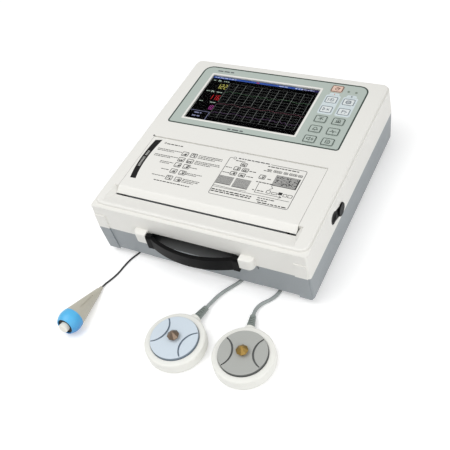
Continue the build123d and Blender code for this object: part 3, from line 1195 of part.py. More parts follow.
def boot_tip(index):
    """The end of a probe's strain relief and a point further along its lead."""
    frame = boot_frame(index)
    tip = (frame * Pos(0, 0, BOOT_LENGTH)).position
    ahead = (frame * Pos(0, 0, BOOT_LENGTH + 10)).position
    return tuple(tip), tuple(ahead)


def make_probe_lead_1():
    tip, ahead = boot_tip(0)
    z = LEAD_RADIUS
    centre_x, centre_y = COIL_CENTRES[0]
    end_x = centre_x + COIL_TURN_RADIUS + COIL_WIDTH / 2 - LEAD_RADIUS
    route = [tip, ahead, (32.0, -173.0, z + 1.2), (41.0, -157.5, z), (51.0, -142.0, z),
             (57.0, -108.0, z), (58.0, -60.0, z), (52.0, -8.0, z), (42.0, 44.0, z),
             (31.0, 90.0, z), (23.0, 128.0, z), (end_x, 158.0, z), (end_x + 0.3, centre_y, z)]
    return lead_tube("probe_lead_1", route, LEAD_RADIUS)


def make_probe_lead_2():
    tip, ahead = boot_tip(1)
    z = LEAD_RADIUS
    centre_x, centre_y = COIL_CENTRES[1]
    end_x = centre_x + COIL_TURN_RADIUS + COIL_WIDTH / 2 - LEAD_RADIUS
    route = [tip, ahead, (86.5, -171.0, z + 1.0), (96.0, -160.0, z), (101.0, -147.0, z),
             (100.5, -122.0, z), (95.0, -84.0, z), (89.0, -34.0, z), (88.0, 18.0, z),
             (93.0, 70.0, z), (99.0, 118.0, z), (end_x, 155.0, z), (end_x + 0.3, centre_y, z)]
    return lead_tube("probe_lead_2", route, LEAD_RADIUS)


def make_marker_lead():
    frame = marker_frame().location
    tip = tuple(frame.position)
    ahead = tuple((frame * Pos(-6, 0, 0)).position)
    z = MARKER_LEAD_RADIUS
    end_x = MARKER_COIL_CENTRE[0] + MARKER_COIL_TURN_RADIUS + MARKER_COIL_WIDTH / 2 - MARKER_LEAD_RADIUS
    route = [tip, ahead, (-118.5, -197.5, z + 0.1), (-114.2, -185.0, z), (-112.8, -171.0, z),
             (-110.0, -157.0, z), (-103.0, -143.0, z), (-97.0, -120.0, z), (-92.0, -84.0, z),
             (-90.0, -40.0, z), (-92.0, 10.0, z), (-90.0, 60.0, z), (-84.0, 105.0, z),
             (-79.0, 136.0, z), (end_x, 157.0, z), (end_x + 0.2, MARKER_COIL_CENTRE[1], z)]
    return lead_tube("marker_lead", route, MARKER_LEAD_RADIUS)


def plug_start(outer_radius, lead_radius, plug_radius):
    """How far past a coil's middle its plug begins, beside the coil's outer edge."""
    inner = outer_radius - lead_radius - plug_radius
    return math.sqrt(outer_radius ** 2 - inner ** 2) + COIL_TAIL_GAP


def make_coil(centre, turn_radius, width, height, lead_radius, plug_radius):
    """The outer shape of a wound lead, a ring with softened edges, and its free end."""
    outer = turn_radius + width / 2
    coil = ring(outer, turn_radius - width / 2, height)
    coil = fillet(coil.edges().filter_by(GeomType.CIRCLE), min(width, height) * 0.3)
    coil += along_y(lead_radius, plug_start(outer, lead_radius, plug_radius),
                    outer - lead_radius, 0, plug_radius)
    return Pos(centre[0], centre[1], 0) * coil


def plug_frame(centre, turn_radius, width, lead_radius, plug_radius):
    """A plug lying beside its coil, its cable end at the coil's free end, +X to its nose."""
    outer = turn_radius + width / 2
    start = plug_start(outer, lead_radius, plug_radius)
    return Pos(centre[0] + outer - lead_radius, centre[1] + start, plug_radius) * Rot(0, 0, 90)


def make_plug(place, length, radius, nose_length, nose_radius, lead_radius):
    """A straight round plug: strain relief, grip and nose, turned about +X."""
    relief = length * 0.35
    plug = turned([(0, 0), (0, lead_radius + 0.8), (relief, radius * 0.62), (relief, radius),
                   (length - nose_length, radius), (length - nose_length, nose_radius),
                   (length, nose_radius), (length, 0)])
    return place * plug


def main():
    os.makedirs("parts", exist_ok=True)
    nodes = {
        "lower_case": make_lower_case(),
        "upper_case": make_upper_case(),
        "rubber_feet": make_feet(),
        "case_screws": make_case_screws(),
        "key_panel": make_panel(),
        "key_board": make_key_board(),
        "status_lights": make_lights(),
        "screen_glass": make_glass(),
        "display_module": make_display(),
        "main_board": make_main_board(),
        "power_supply": make_power_supply(),
        "battery_pack": make_battery(),
        "speaker": make_speaker(),
        "rear_sockets": make_sockets(),
        "mains_inlet": make_mains_inlet(),
        "ground_post": make_ground_post(),
        "paper_tray": make_tray(),
        "paper_pack": make_paper(),
        "printer_motor": make_motor(),
        "motor_pinion": make_motor_pinion(),
        "platen_roller": make_roller(),
        "roller_shaft": make_roller_shaft(),
        "roller_gear": make_roller_gear(),
        "printer_door": make_door(),
        "door_hinge_pins": make_door_pins(),
        "print_head": make_print_head(),
        "door_release": make_door_release(),
        "carry_handle": make_handle(),
        "marker_body": make_marker_body(),
        "marker_collar": make_marker_collar(),
        "marker_ring": make_marker_ring(),
        "marker_button": make_marker_button(),
        "probe_lead_1": make_probe_lead_1(),
        "probe_lead_2": make_probe_lead_2(),
        "marker_lead": make_marker_lead(),
    }
    places = key_places()
    for number, (x, y) in enumerate(places[:-1], start=1):
        nodes[f"key_{number:02d}"] = make_key(x, y)
    nodes["power_key"] = make_key(*places[-1])
    for index in range(len(PROBE_CENTRES)):
        nodes[f"probe_{index + 1}_housing"] = make_probe_housing(index)
        nodes[f"probe_{index + 1}_disc"] = make_probe_disc(index)
        nodes[f"probe_{index + 1}_stud"] = make_probe_stud(index)
        nodes[f"probe_{index + 1}_boot"] = make_probe_boot(index)
    for name, centre in zip(("probe_1", "probe_2"), COIL_CENTRES):
        nodes[f"{name}_coil"] = make_coil(centre, COIL_TURN_RADIUS, COIL_WIDTH, COIL_HEIGHT,
                                          LEAD_RADIUS, PLUG_RADIUS)
        place = plug_frame(centre, COIL_TURN_RADIUS, COIL_WIDTH, LEAD_RADIUS, PLUG_RADIUS)
        nodes[f"{name}_plug"] = make_plug(place, PLUG_LENGTH, PLUG_RADIUS, PLUG_NOSE,
                                          PROBE_SOCKET_BORE - PLUG_FIT, LEAD_RADIUS)
    nodes["marker_coil"] = make_coil(MARKER_COIL_CENTRE, MARKER_COIL_TURN_RADIUS,
                                     MARKER_COIL_WIDTH, MARKER_COIL_HEIGHT,
                                     MARKER_LEAD_RADIUS, MARKER_PLUG_RADIUS)
    place = plug_frame(MARKER_COIL_CENTRE, MARKER_COIL_TURN_RADIUS, MARKER_COIL_WIDTH,
                       MARKER_LEAD_RADIUS, MARKER_PLUG_RADIUS)
    nodes["marker_plug"] = make_plug(place, MARKER_PLUG_LENGTH, MARKER_PLUG_RADIUS, MARKER_PLUG_NOSE,
                                     MARKER_SOCKET_BORE - PLUG_FIT, MARKER_LEAD_RADIUS)
    for name, shape in nodes.items():
        export_step(TO_ORIGIN * shape, f"parts/{name}.step")
    print(len(nodes), "nodes, origin moved by", round(-ORIGIN_Y, 2))


main()
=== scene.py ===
"""Looks of a desk-top fetal monitor: camera, leads, prints, screen picture and finishes.

Sizes in the classes are millimetres about the middle of the case (front towards -Y, floor at
Z 0). A Bench turns them into the frame's metres, because the frame's origin is the middle of
the whole footprint.
"""

from __future__ import annotations

import json
import logging
import math
from dataclasses import dataclass
from enum import Enum
from typing import Any, Sequence

import bpy
import numpy as np
from mathutils import Matrix, Vector

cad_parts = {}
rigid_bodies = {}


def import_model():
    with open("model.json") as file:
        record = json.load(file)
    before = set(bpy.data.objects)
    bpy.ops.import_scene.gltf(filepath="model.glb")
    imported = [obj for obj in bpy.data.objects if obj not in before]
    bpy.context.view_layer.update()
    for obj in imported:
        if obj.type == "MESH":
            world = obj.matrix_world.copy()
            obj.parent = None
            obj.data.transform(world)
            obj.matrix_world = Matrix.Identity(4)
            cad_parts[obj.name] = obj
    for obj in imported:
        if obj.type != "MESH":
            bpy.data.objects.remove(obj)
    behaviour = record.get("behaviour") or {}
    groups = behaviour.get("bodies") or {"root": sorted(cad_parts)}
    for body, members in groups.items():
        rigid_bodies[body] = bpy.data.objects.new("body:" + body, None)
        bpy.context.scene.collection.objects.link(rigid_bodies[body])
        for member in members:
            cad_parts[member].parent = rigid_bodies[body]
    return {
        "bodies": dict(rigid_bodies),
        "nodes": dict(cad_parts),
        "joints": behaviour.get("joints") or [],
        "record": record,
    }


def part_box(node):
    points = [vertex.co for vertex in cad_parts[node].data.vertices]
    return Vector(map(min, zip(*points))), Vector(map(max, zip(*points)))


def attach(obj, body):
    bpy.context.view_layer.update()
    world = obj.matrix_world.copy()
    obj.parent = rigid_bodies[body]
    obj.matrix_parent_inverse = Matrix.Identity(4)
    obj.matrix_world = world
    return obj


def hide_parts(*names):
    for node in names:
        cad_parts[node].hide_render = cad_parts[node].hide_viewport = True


LOG = logging.getLogger("monitor")
MM = 0.001
CASE_DEPTH = 305.5
BANDS_PER_SCALE = 3.18          # bands in a metre of a wave texture whose scale is 1
Colour = tuple[float, float, float, float]
Points = Sequence[Sequence[float]]


def srgb(red: int, green: int, blue: int) -> Colour:
    """Turns eight-bit screen numbers into the linear colour that a socket takes.

    Args:
        red, green, blue: the numbers from 0 to 255.

    Returns:
        The colour with full opacity.
    """
    shares = np.array([red, green, blue]) / 255.0
    curve = np.where(shares <= 0.04045, shares / 12.92, ((shares + 0.055) / 1.055) ** 2.4)
    return (float(curve[0]), float(curve[1]), float(curve[2]), 1.0)


# ---- Shader maths ----
class Value:
    """A number that flows through a material, so that maths on it reads as Python."""

    def __init__(self, graph: "Graph", socket: bpy.types.NodeSocket) -> None:
        """Keeps the socket that gives the number, and the graph it belongs to."""
        self.graph = graph
        self.socket = socket

    def _math(self, operation: str, first: Any, second: Any) -> "Value":
        """Adds one Math node and returns its result."""
        node = self.graph.add("ShaderNodeMath", {"operation": operation}, {0: first, 1: second})
        return Value(self.graph, node.outputs[0])

    def __add__(self, other: Any) -> "Value":
        """self + other, in either order."""
        return self._math("ADD", self, other)

    __radd__ = __add__

    def __sub__(self, other: Any) -> "Value":
        """self - other."""
        return self._math("SUBTRACT", self, other)

    def __rsub__(self, other: Any) -> "Value":
        """other - self."""
        return self._math("SUBTRACT", other, self)

    def __mul__(self, other: Any) -> "Value":
        """self * other, in either order."""
        return self._math("MULTIPLY", self, other)

    __rmul__ = __mul__

    def __gt__(self, other: Any) -> "Value":
        """1 where self is greater than other, and 0 elsewhere."""
        return self._math("GREATER_THAN", self, other)

    def larger(self, other: Any) -> "Value":
        """The larger of self and other."""
        return self._math("MAXIMUM", self, other)

    def within(self, low: float, high: float) -> "Value":
        """Rises smoothly from 0 at low to 1 at high."""
        node = self.graph.add("ShaderNodeMapRange", {"interpolation_type": "SMOOTHSTEP"},
                              {"Value": self, "From Min": low, "From Max": high})
        return Value(self.graph, node.outputs[0])


class Graph:
    """The node tree of one material or sky, and the few ways this file adds to it."""

    def __init__(self, name: str, owner: bpy.types.ID | None = None) -> None:
        """Starts an empty node tree.

        Args:
            name: the material's name.
            owner: what the nodes belong to, or None for a new material.
        """
        self.material = owner or bpy.data.materials.new(name)
        self.material.use_nodes = True
        self.tree = self.material.node_tree
        self.tree.nodes.clear()

    def feed(self, socket: bpy.types.NodeSocket, value: Any) -> None:
        """Links a Value or a socket to an input, or sets a plain number or colour on it."""
        if isinstance(value, Value):
            self.tree.links.new(value.socket, socket)
        elif isinstance(value, bpy.types.NodeSocket):
            self.tree.links.new(value, socket)
        else:
            socket.default_value = value

    def add(self, kind: str, settings: dict[str, Any] | None = None,
            inputs: dict[str | int, Any] | None = None) -> bpy.types.Node:
        """Adds any node, its settings first and its inputs after them.

        Args:
            kind: the node's type.
            settings: its properties.
            inputs: what each input socket takes, by name or number.

        Returns:
            The new node.
        """
        node = self.tree.nodes.new(kind)
        for name, value in (settings or {}).items():
            setattr(node, name, value)
        for name, value in (inputs or {}).items():
            self.feed(node.inputs[name], value)
        return node

    def place(self) -> bpy.types.NodeSocket:
        """Object coordinates, in metres."""
        return self.add("ShaderNodeTexCoord").outputs["Object"]

    def noise(self, scale: float, detail: float = 2.0, rough: float = 0.5) -> Value:
        """Cloudy noise from 0 to 1 with about scale cells in a metre."""
        node = self.add("ShaderNodeTexNoise", None, {"Vector": self.place(), "Scale": scale,
                                                     "Detail": detail, "Roughness": rough})
        return Value(self, node.outputs["Fac"])

    def cells(self, scale: float) -> Value:
        """The distance from the nearest of scattered points, about scale of them in a metre."""
        node = self.add("ShaderNodeTexVoronoi", None, {"Vector": self.place(), "Scale": scale})
        return Value(self, node.outputs["Distance"])

    def waves(self, scale: float, direction: str, distortion: float = 0.0) -> Value:
        """Sine bands across one axis, about scale of them in a metre."""
        node = self.add("ShaderNodeTexWave", {"wave_type": "BANDS", "bands_direction": direction},
                        {"Vector": self.place(), "Scale": scale / BANDS_PER_SCALE,
                         "Distortion": distortion})
        return Value(self, node.outputs["Fac"])

    def blend(self, mask: Any, first: Any, second: Any) -> bpy.types.NodeSocket:
        """The first colour where mask is 0 and the second where it is 1."""
        node = self.add("ShaderNodeMix", {"data_type": "RGBA"}, {0: mask, 6: first, 7: second})
        return node.outputs[2]

    def bump(self, height: Value, depth: float) -> bpy.types.NodeSocket:
        """The normal of a relief that is depth metres deep where height runs from 0 to 1."""
        node = self.add("ShaderNodeBump", None,
                        {"Height": height, "Distance": depth, "Strength": 1.0})
        return node.outputs["Normal"]

    def surface(self, **inputs: Any) -> bpy.types.Material:
        """Closes the graph with a Principled shader.

        Args:
            inputs: its inputs by name, with underscores for spaces.

        Returns:
            The finished material.
        """
        named = {name.replace("_", " "): value for name, value in inputs.items()}
        shader = self.add("ShaderNodeBsdfPrincipled", None, named)
        self.add("ShaderNodeOutputMaterial", None, {"Surface": shader.outputs[0]})
        return self.material


# ---- Finishes ----
def shade(colour: Colour, factor: float) -> Colour:
    """The same colour, lighter or darker by a factor."""
    return (min(1.0, colour[0] * factor), min(1.0, colour[1] * factor),
            min(1.0, colour[2] * factor), 1.0)


@dataclass(frozen=True)
class Finish:
    """A finish with a name and one main colour."""

    name: str
    colour: Colour

    def varied(self, graph: Graph, mask: Value, low: float, high: float) -> bpy.types.NodeSocket:
        """The main colour times low where mask is 0, and times high where it is 1."""
        return graph.blend(mask, shade(self.colour, low), shade(self.colour, high))


@dataclass(frozen=True)
class MouldedPlastic(Finish):
    """Moulded plastic: a spark-eroded grain, faint flow marks and changes of gloss."""

    roughness: float = 0.46
    grain_size: float = 0.0006
    grain_depth: float = 0.00002
    coat: float = 0.0
    shine: float = 0.5

    def material(self) -> bpy.types.Material:
        """Height = noise at the grain's size plus half of one four times as fine."""
        graph = Graph(self.name)
        coarse = graph.noise(1.0 / self.grain_size, 2.0)
        fine = graph.noise(4.0 / self.grain_size, 1.0)
        flow = graph.noise(14.0, 3.0, 0.6)
        handled = graph.noise(60.0, 4.0, 0.7).within(0.45, 0.7)
        colour = self.varied(graph, flow, 0.975, 1.02)
        rough = self.roughness + (coarse - 0.5) * 0.08 - handled * 0.05
        return graph.surface(Base_Color=colour, Roughness=rough, Coat_Weight=self.coat,
                             Specular_IOR_Level=self.shine,
                             Normal=graph.bump(coarse + fine * 0.5, self.grain_depth))


@dataclass(frozen=True)
class HeightShadedPlastic:
    """A dull plastic whose colour changes with height: painted light and shade, one colour low down
    and another higher up.
    """

    name: str
    low_colour: Colour
    high_colour: Colour
    low_z: float
    high_z: float
    roughness: float = 0.5
    shine: float = 0.2

    def material(self) -> bpy.types.Material:
        """Colour = low to high with height, after a little noise; height = fine noise."""
        graph = Graph(self.name)
        place = graph.add("ShaderNodeSeparateXYZ", None, {"Vector": graph.place()})
        grain = graph.noise(1600.0, 3.0)
        level = graph.add("ShaderNodeMapRange", None,
                          {"Value": place.outputs["Z"], "From Min": self.low_z,
                           "From Max": self.high_z})
        colour = graph.blend(Value(graph, level.outputs[0]) + (grain - 0.5) * 0.1,
                             self.low_colour, self.high_colour)
        return graph.surface(Base_Color=colour, Roughness=grain * 0.1 + self.roughness,
                             Specular_IOR_Level=self.shine, Normal=graph.bump(grain, 0.00001))


@dataclass(frozen=True)
class PrintedFilm(Finish):
    """A printed polyester film: an even colour under a very fine matt texture."""

    roughness: float = 0.38

    def material(self) -> bpy.types.Material:
        """Height = cells of a quarter of a millimetre, as on a matt film."""
        graph = Graph(self.name)
        grain = graph.cells(4200.0)
        cloud = graph.noise(9.0, 2.0)
        colour = self.varied(graph, cloud, 0.97, 1.03)
        return graph.surface(Base_Color=colour, Roughness=self.roughness + grain * 0.06,
                             Normal=graph.bump(grain, 0.000006))


@dataclass(frozen=True)
class PrintInk(Finish):
    """Screen-printed ink: flat, slightly uneven in cover, with a little sheen."""

    roughness: float = 0.42

    def material(self) -> bpy.types.Material:
        """Cover = fine noise, which thins the ink's colour by a few percent."""
        graph = Graph(self.name)
        cover = graph.noise(2600.0, 2.0)
        colour = self.varied(graph, cover, 0.93, 1.06)
        return graph.surface(Base_Color=colour, Roughness=self.roughness + cover * 0.08,
                             Specular_IOR_Level=0.25)


@dataclass(frozen=True)
class ScreenLight(Finish):
    """A lit area of the screen: rows of picture elements that glow in one colour."""

    glow: float = 0.8
    element: float = 0.00022

    def material(self) -> bpy.types.Material:
        """Brightness = 0.88 + 0.12 times the product of two sine grids."""
        graph = Graph(self.name)
        grid = graph.waves(1.0 / self.element, "X") * graph.waves(1.0 / self.element, "Y")
        lit = self.varied(graph, grid, 0.88, 1.0)
        return graph.surface(Base_Color=shade(self.colour, 0.1), Roughness=0.35,
                             Specular_IOR_Level=0.0, Emission_Color=lit,
                             Emission_Strength=self.glow)


@dataclass(frozen=True)
class RubberSkin(Finish):
    """Matt rubber or soft cable jacket: fine pores and a faint bloom on the surface."""

    roughness: float = 0.62
    pore: float = 0.0004

    def material(self) -> bpy.types.Material:
        """Height = noise at the pore's size; bloom = soft clouds that pale the colour."""
        graph = Graph(self.name)
        pores = graph.noise(1.0 / self.pore, 3.0, 0.6)
        bloom = graph.noise(120.0, 3.0).within(0.4, 0.75)
        colour = graph.blend(bloom * 0.6, self.colour, shade(self.colour, 1.18))
        return graph.surface(Base_Color=colour, Roughness=self.roughness + pores * 0.12,
                             Normal=graph.bump(pores, 0.000025))


class Turning(Enum):
    """The axis that a metal piece was turned about or brushed along."""

    X = "X"
    Y = "Y"
    Z = "Z"


@dataclass(frozen=True)
class TurnedMetal(Finish):
    """Turned or drawn metal: fine tool lines across the axis, and a few dull patches."""

    axis: Turning = Turning.Z
    roughness: float = 0.28
    line: float = 0.00025

    def material(self) -> bpy.types.Material:
        """Height = bands along the axis, broken up by noise."""
        graph = Graph(self.name)
        lines = graph.waves(1.0 / self.line, self.axis.value, distortion=1.5)
        dull = graph.noise(260.0, 4.0, 0.7)
        colour = self.varied(graph, dull, 0.86, 1.08)
        return graph.surface(Base_Color=colour, Metallic=1.0,
                             Roughness=self.roughness + dull * 0.16 + lines * 0.04,
                             Normal=graph.bump(lines, 0.000004))


@dataclass(frozen=True)
class ClearGlass:
    """The screen's window: clear, with a faint handled film that changes its gloss."""

    name: str

    def material(self) -> bpy.types.Material:
        """Film = soft noise that lifts the roughness by up to a twentieth."""
        graph = Graph(self.name)
        film = graph.noise(40.0, 3.0)
        return graph.surface(Base_Color=(0.96, 0.98, 0.98, 1.0), Transmission_Weight=1.0,
                             IOR=1.06, Roughness=0.02 + film.within(0.45, 0.8) * 0.05)


@dataclass(frozen=True)
class CircuitBoard(Finish):
    """Green solder mask over a grid of copper tracks, with bright pads."""

    def material(self) -> bpy.types.Material:
        """Tracks = bands along X or Y, chosen by square cells of noise."""
        graph = Graph(self.name)
        blocks = graph.noise(70.0, 0.0) > 0.5
        along = graph.waves(620.0, "X")
        across = graph.waves(620.0, "Y")
        tracks = (along * blocks + across * (1.0 - blocks)) > 0.72
        pads = 1.0 - graph.cells(260.0).within(0.12, 0.2)
        masked = graph.blend(tracks * 0.7, self.colour, shade(self.colour, 1.9))
        colour = graph.blend(pads, masked, (0.62, 0.62, 0.58, 1.0))
        return graph.surface(Base_Color=colour, Metallic=pads * 0.9, Roughness=0.42 - pads * 0.12,
                             Normal=graph.bump(tracks.larger(pads), 0.00004))


@dataclass(frozen=True)
class PaperStack(Finish):
    """A pack of folded chart paper: leaf edges on its sides and a faint grid on top."""

    leaf: float = 0.0007

    def material(self) -> bpy.types.Material:
        """Height = bands along Z, one per leaf; the printed grid is bands along X and Y."""
        graph = Graph(self.name)
        leaves = graph.waves(1.0 / self.leaf, "Z", distortion=0.6)
        grid = (graph.waves(200.0, "X") > 0.97).larger(graph.waves(200.0, "Y") > 0.97)
        fibre = graph.noise(1800.0, 4.0)
        plain = graph.blend(fibre, shade(self.colour, 0.95), self.colour)
        colour = graph.blend(grid * 0.45, plain, (0.75, 0.42, 0.36, 1.0))
        return graph.surface(Base_Color=colour, Roughness=0.85 + fibre * 0.08,
                             Normal=graph.bump(leaves + fibre * 0.2, 0.00012))


@dataclass(frozen=True)
class FloorFinish:
    """A white studio floor that keeps shadows and reads white to the camera."""

    name: str
    lift: float = 0.32

    def material(self) -> bpy.types.Material:
        """Diffuse white, plus a little light of its own for camera, mirror and glass rays."""
        graph = Graph(self.name)
        rays = graph.add("ShaderNodeLightPath")
        seen = Value(graph, rays.outputs["Is Camera Ray"]).larger(
            Value(graph, rays.outputs["Is Glossy Ray"])).larger(
            Value(graph, rays.outputs["Is Transmission Ray"]))
        paint = graph.add("ShaderNodeBsdfDiffuse", None, {"Color": (0.86, 0.86, 0.86, 1.0)})
        glow = graph.add("ShaderNodeEmission", None, {"Strength": seen * self.lift})
        both = graph.add("ShaderNodeAddShader", None, {0: paint.outputs[0], 1: glow.outputs[0]})
        graph.add("ShaderNodeOutputMaterial", None, {"Surface": both.outputs[0]})
        return graph.material


HOUSING_WHITE = MouldedPlastic("housing_white", srgb(233, 232, 227), 0.42, coat=0.03)


# ---- Shapes on a plane ----
def rounded_outline(left: float, right: float, front: float, back: float, radius: float,
                    back_radius: float | None = None, steps: int = 6) -> np.ndarray:
    """The outline of a rectangle with quarter circles at its corners.

    Each corner is centre + radius (cos a, sin a), with a over a quarter turn.

    Args:
        left, right, front, back: the rectangle's sides.
        radius: the corner radius.
        back_radius: the radius of the two back corners, or None for the same one.
        steps: points for each corner.

    Returns:
        Points counter-clockwise, one row each.
    """
    far = radius if back_radius is None else back_radius
    centres = np.array([[right - far, back - far], [left + far, back - far],
                        [left + radius, front + radius], [right - radius, front + radius]])
    starts = np.radians([0.0, 90.0, 180.0, 270.0])
    angles = starts[:, None] + np.linspace(0.0, math.pi / 2, steps)[None, :]
    sizes = np.array([far, far, radius, radius])[:, None, None]
    arcs = np.stack([np.cos(angles), np.sin(angles)], axis=-1) * sizes
    return (centres[:, None, :] + arcs).reshape(-1, 2)


def circle_outline(x: float, y: float, radius: float, steps: int = 24) -> np.ndarray:
    """A circle as points counter-clockwise: centre + radius (cos a, sin a)."""
    angles = np.linspace(0.0, 2.0 * math.pi, steps, endpoint=False)
    return np.stack([x + radius * np.cos(angles), y + radius * np.sin(angles)], axis=-1)


def offset_sides(line: Points, width: float) -> tuple[np.ndarray, np.ndarray]:
    """Both sides of a line: p ± n w / 2 / cos(half the turn), n normal to the bisector.

    Args:
        line: the open line's points.
        width: the whole width.

    Returns:
        The left and the right side, one row for each point.
    """
    path = np.asarray(line, float)
    steps = np.diff(path, axis=0)
    steps /= np.linalg.norm(steps, axis=1)[:, None]
    before = np.vstack([steps[:1], steps])
    after = np.vstack([steps, steps[-1:]])
    middle = before + after
    middle /= np.linalg.norm(middle, axis=1)[:, None]
    reach = width / 2 / np.maximum((middle * before).sum(axis=1), 0.4)
    normal = np.stack([-middle[:, 1], middle[:, 0]], axis=-1) * reach[:, None]
    return path + normal, path - normal


class PrintSheet:
    """Flat shapes of one colour on a level, each a thin closed slab in one mesh."""

    def __init__(self, bench: "Bench", name: str, level: float, thickness: float = 0.05) -> None:
        """Starts an empty sheet.

        Args:
            bench: places the finished mesh in the frame.
            name: the piece's name.
            level: the height of the slabs' undersides.
            thickness: the height of the slabs.
        """
        self.bench = bench
        self.name = name
        self.level = level
        self.thickness = thickness
        self.vertices: list[np.ndarray] = []
        self.faces: list[list[int]] = []
        self.count = 0

    def _append(self, flat: np.ndarray) -> int:
        """Adds the points at both levels and returns the number of the first."""
        low = np.column_stack([flat, np.full(len(flat), self.level)])
        high = np.column_stack([flat, np.full(len(flat), self.level + self.thickness)])
        self.vertices.append(np.vstack([low, high]))
        start = self.count
        self.count += 2 * len(flat)
        return start

    def fill(self, outline: Points) -> None:
        """Adds one filled shape, turned counter-clockwise by its signed area first."""
        flat = np.asarray(outline, float)
        after = np.roll(flat, -1, axis=0)
        area = (flat[:, 0] * after[:, 1] - after[:, 0] * flat[:, 1]).sum()
        flat = flat if area > 0 else flat[::-1]
        size = len(flat)
        start = self._append(flat)
        low = np.arange(start, start + size)
        high = low + size
        self.faces.append(low[::-1].tolist())
        self.faces.append(high.tolist())
        sides = np.stack([low, np.roll(low, -1), np.roll(high, -1), high], axis=-1)
        self.faces.extend(sides.tolist())

    def band(self, outer: np.ndarray, inner: np.ndarray) -> None:
        """Adds the closed band between two loops with the same number of points."""
        size = len(outer)
        first = self._append(outer)
        second = self._append(inner)
        low_out = np.arange(first, first + size)
        low_in = np.arange(second, second + size)
        for loop_a, loop_b in ((low_out + size, low_in + size), (low_in, low_out),
                               (low_out, low_out + size), (low_in + size, low_in)):
            quads = np.stack([loop_a, np.roll(loop_a, -1), np.roll(loop_b, -1), loop_b], axis=-1)
            self.faces.extend(quads.tolist())

    def bar(self, left: float, right: float, front: float, back: float) -> None:
        """Adds one rectangle."""
        self.fill([(left, front), (right, front), (right, back), (left, back)])

    def line(self, points: Points, width: float) -> None:
        """Adds one open line with a width."""
        one, other = offset_sides(points, width)
        self.fill(np.vstack([one, other[::-1]]))

    def frame(self, left: float, right: float, front: float, back: float, radius: float,
              width: float, back_radius: float | None = None) -> None:
        """Adds the outline of a rounded rectangle, width wide and inside the given sides."""
        far = radius if back_radius is None else back_radius
        inner, inner_far = max(radius - width, 0.05), max(far - width, 0.05)
        self.band(rounded_outline(left, right, front, back, radius, far),
                  rounded_outline(left + width, right - width, front + width, back - width,
                                  inner, inner_far))

    def circle(self, x: float, y: float, radius: float, width: float) -> None:
        """Adds the outline of a circle."""
        self.band(circle_outline(x, y, radius), circle_outline(x, y, radius - width))

    def words(self, left: float, right: float, y: float, height: float, seed: int) -> None:
        """Adds a row of plain bars of uneven lengths, as small print looks from afar."""
        rng = np.random.default_rng(seed)
        place = left
        while place < right - height:
            length = min(float(rng.uniform(1.2, 4.2)) * height, right - place)
            self.bar(place, place + length, y - height / 2, y + height / 2)
            place += length + height * 0.8

    def finish(self, body: str, recipe: Any, slot: str) -> None:
        """Makes the piece out of all the slabs and lets it ride on a body."""
        piece = self.bench.solid(self.name, np.vstack(self.vertices), self.faces)
        self.bench.dress(piece, body, recipe, slot)


# ---- The bench: frame, units and finishes ----
def stand(name: str, data: bpy.types.ID) -> bpy.types.Object:
    """Makes an object out of some data and links it to the scene."""
    thing = bpy.data.objects.new(name, data)
    bpy.context.scene.collection.objects.link(thing)
    return thing


class Bench:
    """The loaded frame, the units, and the finishes by name."""

    def __init__(self, frame: dict[str, Any]) -> None:
        """Finds where the case stands in the frame.
        """
        self.nodes: dict[str, bpy.types.Object] = frame["nodes"]
        self.case_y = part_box("lower_case")[1].y / MM - CASE_DEPTH / 2
        self.made: dict[str, bpy.types.Material] = {}

    def metres(self, points: Points) -> np.ndarray:
        """Moves points from the middle of the case to the frame's origin, in metres."""
        return (np.asarray(points, float) + [0.0, self.case_y, 0.0]) * MM

    def finish(self, recipe: Any) -> bpy.types.Material:
        """Makes a recipe's material once and returns it."""
        if recipe.name not in self.made:
            self.made[recipe.name] = recipe.material()
        return self.made[recipe.name]

    def solid(self, name: str, vertices: np.ndarray, faces: list[list[int]]) -> bpy.types.Object:
        """Puts a computed shape into a mesh in the frame.

        Args:
            name: the piece's name.
            vertices: points in millimetres about the middle of the case.
            faces: the points of each face, counter-clockwise seen from outside.

        Returns:
            The new object at the origin.
        """
        mesh = bpy.data.meshes.new(name)
        mesh.from_pydata(self.metres(vertices).tolist(), [], faces)
        mesh.update()
        return stand(name, mesh)

    def dress(self, piece: bpy.types.Object, body: str, recipe: Any, slot: str) -> None:
        """Gives a new piece its finish and its body, and reports it."""
        piece.data.materials.clear()
        piece.data.materials.append(self.finish(recipe))
        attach(piece, body)
        LOG.info("made %s on %s", piece.name, body)

    def paint(self, recipe: Any, *names: str) -> None:
        """Gives carried-over nodes a finish."""
        material = self.finish(recipe)
        for name in names:
            node = self.nodes[name]
            node.data.materials.clear()
            node.data.materials.append(material)
            LOG.info("painted %s", name)


